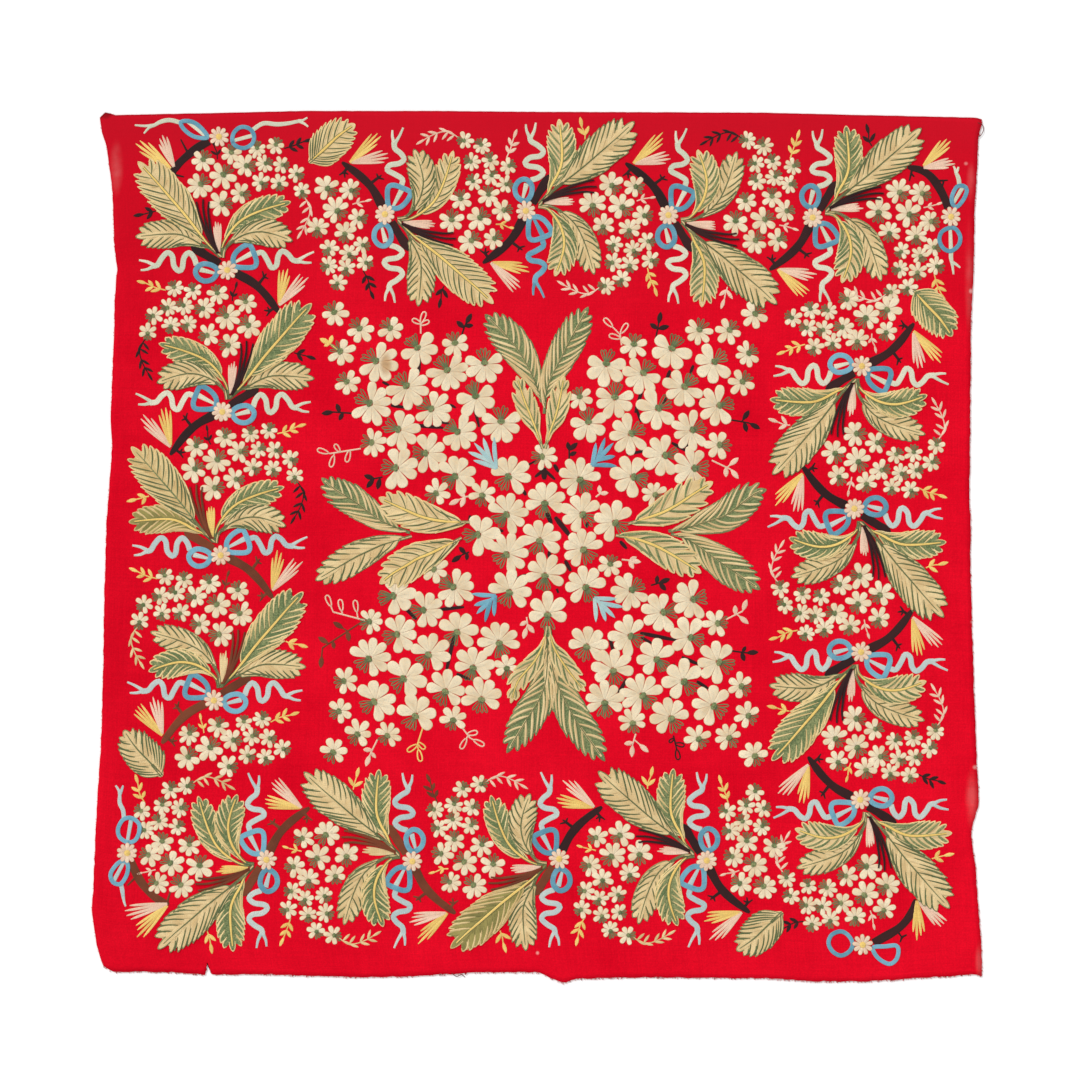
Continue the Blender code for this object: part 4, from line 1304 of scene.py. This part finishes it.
def stitch_quarter_blossom(needle, x, y, size):
    """A blossom of the four bunches: its stamens point away from the bunch's own middle."""
    rng = dice("quarter", x, y)
    sides = math.copysign(1, x), math.copysign(1, y)
    away = np.array((x, y)) - np.multiply(sides, FOCUS)
    heading = angle_of(away) + rng.uniform(-0.25, 0.25)
    drift_x, drift_y = QUARTER_DRIFT[sides]
    place = (CENTRE[0] + drift_x + x + rng.uniform(-1.2, 1.2),
             CENTRE[1] + drift_y + y + rng.uniform(-1.2, 1.2))
    stitch_blossom(needle, place, SIZE_ACROSS[size] * rng.uniform(0.95, 1.06), heading, (x, y))


# ---------------------------------------------------------------- the cloth


def soft_edge(values, reach=5):
    """The same edge without its small unevenness."""
    padded = np.concatenate([2 * values[0] - values[reach:0:-1], values,
                             2 * values[-1] - values[-2 : -reach - 2 : -1]])
    weights = np.hanning(2 * reach + 3)[1:-1]
    return np.convolve(padded, weights / weights.sum(), "valid")


def edge_points(table, axis, count, key, marks=()):
    """An edge as it is and smoothed: points at even steps along the axis, moved onto the marks."""
    table = np.array(table, float)
    table = table[np.argsort(table[:, axis], kind="stable")]
    even = np.linspace(table[0, axis], table[-1, axis], count)
    where = even.copy()
    if marks:
        first = np.argmin(np.abs(where - marks[1])) - 1
        where[first : first + 3] = marks
    rng = dice("raw", key)
    ragged = np.array([rng.uniform(-1, 1) for _ in where]) * RAGGED[key]
    ragged[[0, -1]] = 0
    true = np.stack([where, np.interp(where, table[:, axis], table[:, 1 - axis]) + ragged], 1)
    soft = np.stack([even, soft_edge(np.interp(even, table[:, axis], table[:, 1 - axis]))], 1)
    soft[[0, -1]] = true[[0, -1]]
    return (true, soft) if axis == 0 else (true[:, ::-1], soft[:, ::-1])


def cloth_grid(count):
    """Points (x, y) of the cloth, row by row from its lower edge. Threads run along the edges."""
    top, top_soft = edge_points(TOP_EDGE, 0, count, "top")
    low, low_soft = edge_points(BOTTOM_EDGE, 0, count, "low", NICK)
    left, left_soft = edge_points(LEFT_EDGE, 1, count, "left")
    right, right_soft = edge_points(RIGHT_EDGE, 1, count, "right")
    u = np.linspace(0, 1, count)[None, :, None]
    v = np.linspace(0, 1, count)[:, None, None]
    grid = (1 - v) * low_soft[None] + v * top_soft[None]
    grid = grid + (1 - u) * left_soft[:, None] + u * right_soft[:, None]
    grid = grid - (1 - u) * (1 - v) * low[0] - u * (1 - v) * low[-1]
    grid = grid - (1 - u) * v * top[0] - u * v * top[-1]
    near = np.clip(1 - np.arange(count) / EDGE_ROWS, 0, 1) ** 2
    grid += near[:, None, None] * (low - low_soft)[None]
    grid += near[::-1, None, None] * (top - top_soft)[None]
    grid += near[None, :, None] * (left - left_soft)[:, None]
    grid += near[None, ::-1, None] * (right - right_soft)[:, None]
    return grid


def build_cloth(material):
    """One sheet with both of its faces and its rim."""
    count = round(WEAVE_ACROSS / EDGE_STEP)
    xy = cloth_grid(count).reshape(-1, 2)
    index = np.arange(count * count).reshape(count, count)
    quads = np.stack([index[:-1, :-1], index[:-1, 1:], index[1:, 1:], index[1:, :-1]], -1)
    quads = quads.reshape(-1, 4)
    under = quads[:, ::-1] + count * count
    ring = np.concatenate([index[0, :-1], index[:-1, -1], index[-1, :0:-1], index[:0:-1, 0]])
    following = np.roll(ring, -1)
    rim = np.stack([following, ring, ring + count * count, following + count * count], 1)
    heights = np.concatenate([cloth_top(xy[:, 0], xy[:, 1]), np.zeros(len(xy))])
    places = np.column_stack([np.tile(xy, (2, 1)) - MIDDLE, heights])
    weave = np.meshgrid(np.linspace(0, WEAVE_ACROSS, count), np.linspace(0, WEAVE_UP, count))
    weave = np.tile(np.stack(weave, -1).reshape(-1, 2), (2, 1))
    return make_mesh("red_wool_cloth", material, places * MM, np.vstack([quads, under, rim]), weave,
                     np.zeros(len(places)))


def stitch_frayed(needle):
    """Short ends of threads along the raw edges, and a few long loose ones."""
    needle.region = "edges"
    rng = dice("frayed")
    for edge, count, longest, outward in FRAYED:
        edge = np.array(edge, float)
        along = distances(edge)
        for _ in range(count):
            at = rng.uniform(0, along[-1])
            start = np.array([np.interp(at, along, edge[:, i]) for i in (0, 1)])
            angle = angle_of(outward) + rng.uniform(-0.9, 0.9)
            reach = longest * rng.uniform(0.3, 1.0)
            path = (start - np.array(outward) * 1.2, start + unit(angle) * reach * 0.5,
                    start + unit(angle + rng.uniform(-0.6, 0.6)) * reach)
            needle.yarn("thread").strip(path, 0.45, -0.6, 0.3, 1, rng.random())
    for path in LOOSE_THREADS:
        needle.yarn("dark thread").strip(curve(path, 1.5), 0.8, 0.0, 0.3)


# ---------------------------------------------------------------- stage, light and camera

FLOOR_REACH = 30.0
FLOOR_DROP = 0.0005
VIEW_WIDTH = 1296.0  # of the cloth's plane
VIEW_MIDDLE = (4.0, 8.4)


def build_stage():
    mesh = bpy.data.meshes.new("floor")
    corners = ((-1, -1), (1, -1), (1, 1), (-1, 1))
    mesh.from_pydata([(x * FLOOR_REACH, y * FLOOR_REACH, -FLOOR_DROP) for x, y in corners], [],
                     [(0, 1, 2, 3)])
    mesh.materials.append(Shader("paper_floor", 0.9, 0.0).finished((0.95, 0.95, 0.95, 1.0)))
    floor = add_object("floor", mesh)


def light_and_camera():
    world = bpy.data.worlds.new("studio")
    bpy.context.scene.world = world
    world.use_nodes = True
    background = world.node_tree.nodes["Background"]
    background.inputs["Color"].default_value = (1.0, 1.0, 1.0, 1.0)
    background.inputs["Strength"].default_value = 0.82

    light = bpy.data.lights.new("softbox", "SUN")  # even light, as from a large far softbox
    light.energy = 1.75
    light.angle = math.radians(14)
    x, y, z = (0.55, -0.62, -0.62)  # the way the light goes
    lamp = add_object("softbox", light)
    lamp.rotation_euler = (math.atan2(math.hypot(x, y), -z), 0.0, math.atan2(-x, y))

    data = bpy.data.cameras.new("overhead")
    data.lens = 85.0
    data.sensor_width = 36.0
    camera = add_object("overhead", data)
    height = VIEW_WIDTH * MM * data.lens / data.sensor_width
    camera.location = (VIEW_MIDDLE[0] * MM, VIEW_MIDDLE[1] * MM, height)
    bpy.context.scene.camera = camera
    bpy.context.scene.view_settings.view_transform = "Standard"


# ---------------------------------------------------------------- all of it


def main():
    needle = Needle()
    stitch_border(needle)
    stitch_centre(needle)
    stitch_frayed(needle)
    stitches = needle.build()
    cloth = build_cloth(wool_material())
    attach(cloth, "root")
    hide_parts(NODE)
    build_stage()
    light_and_camera()


main()
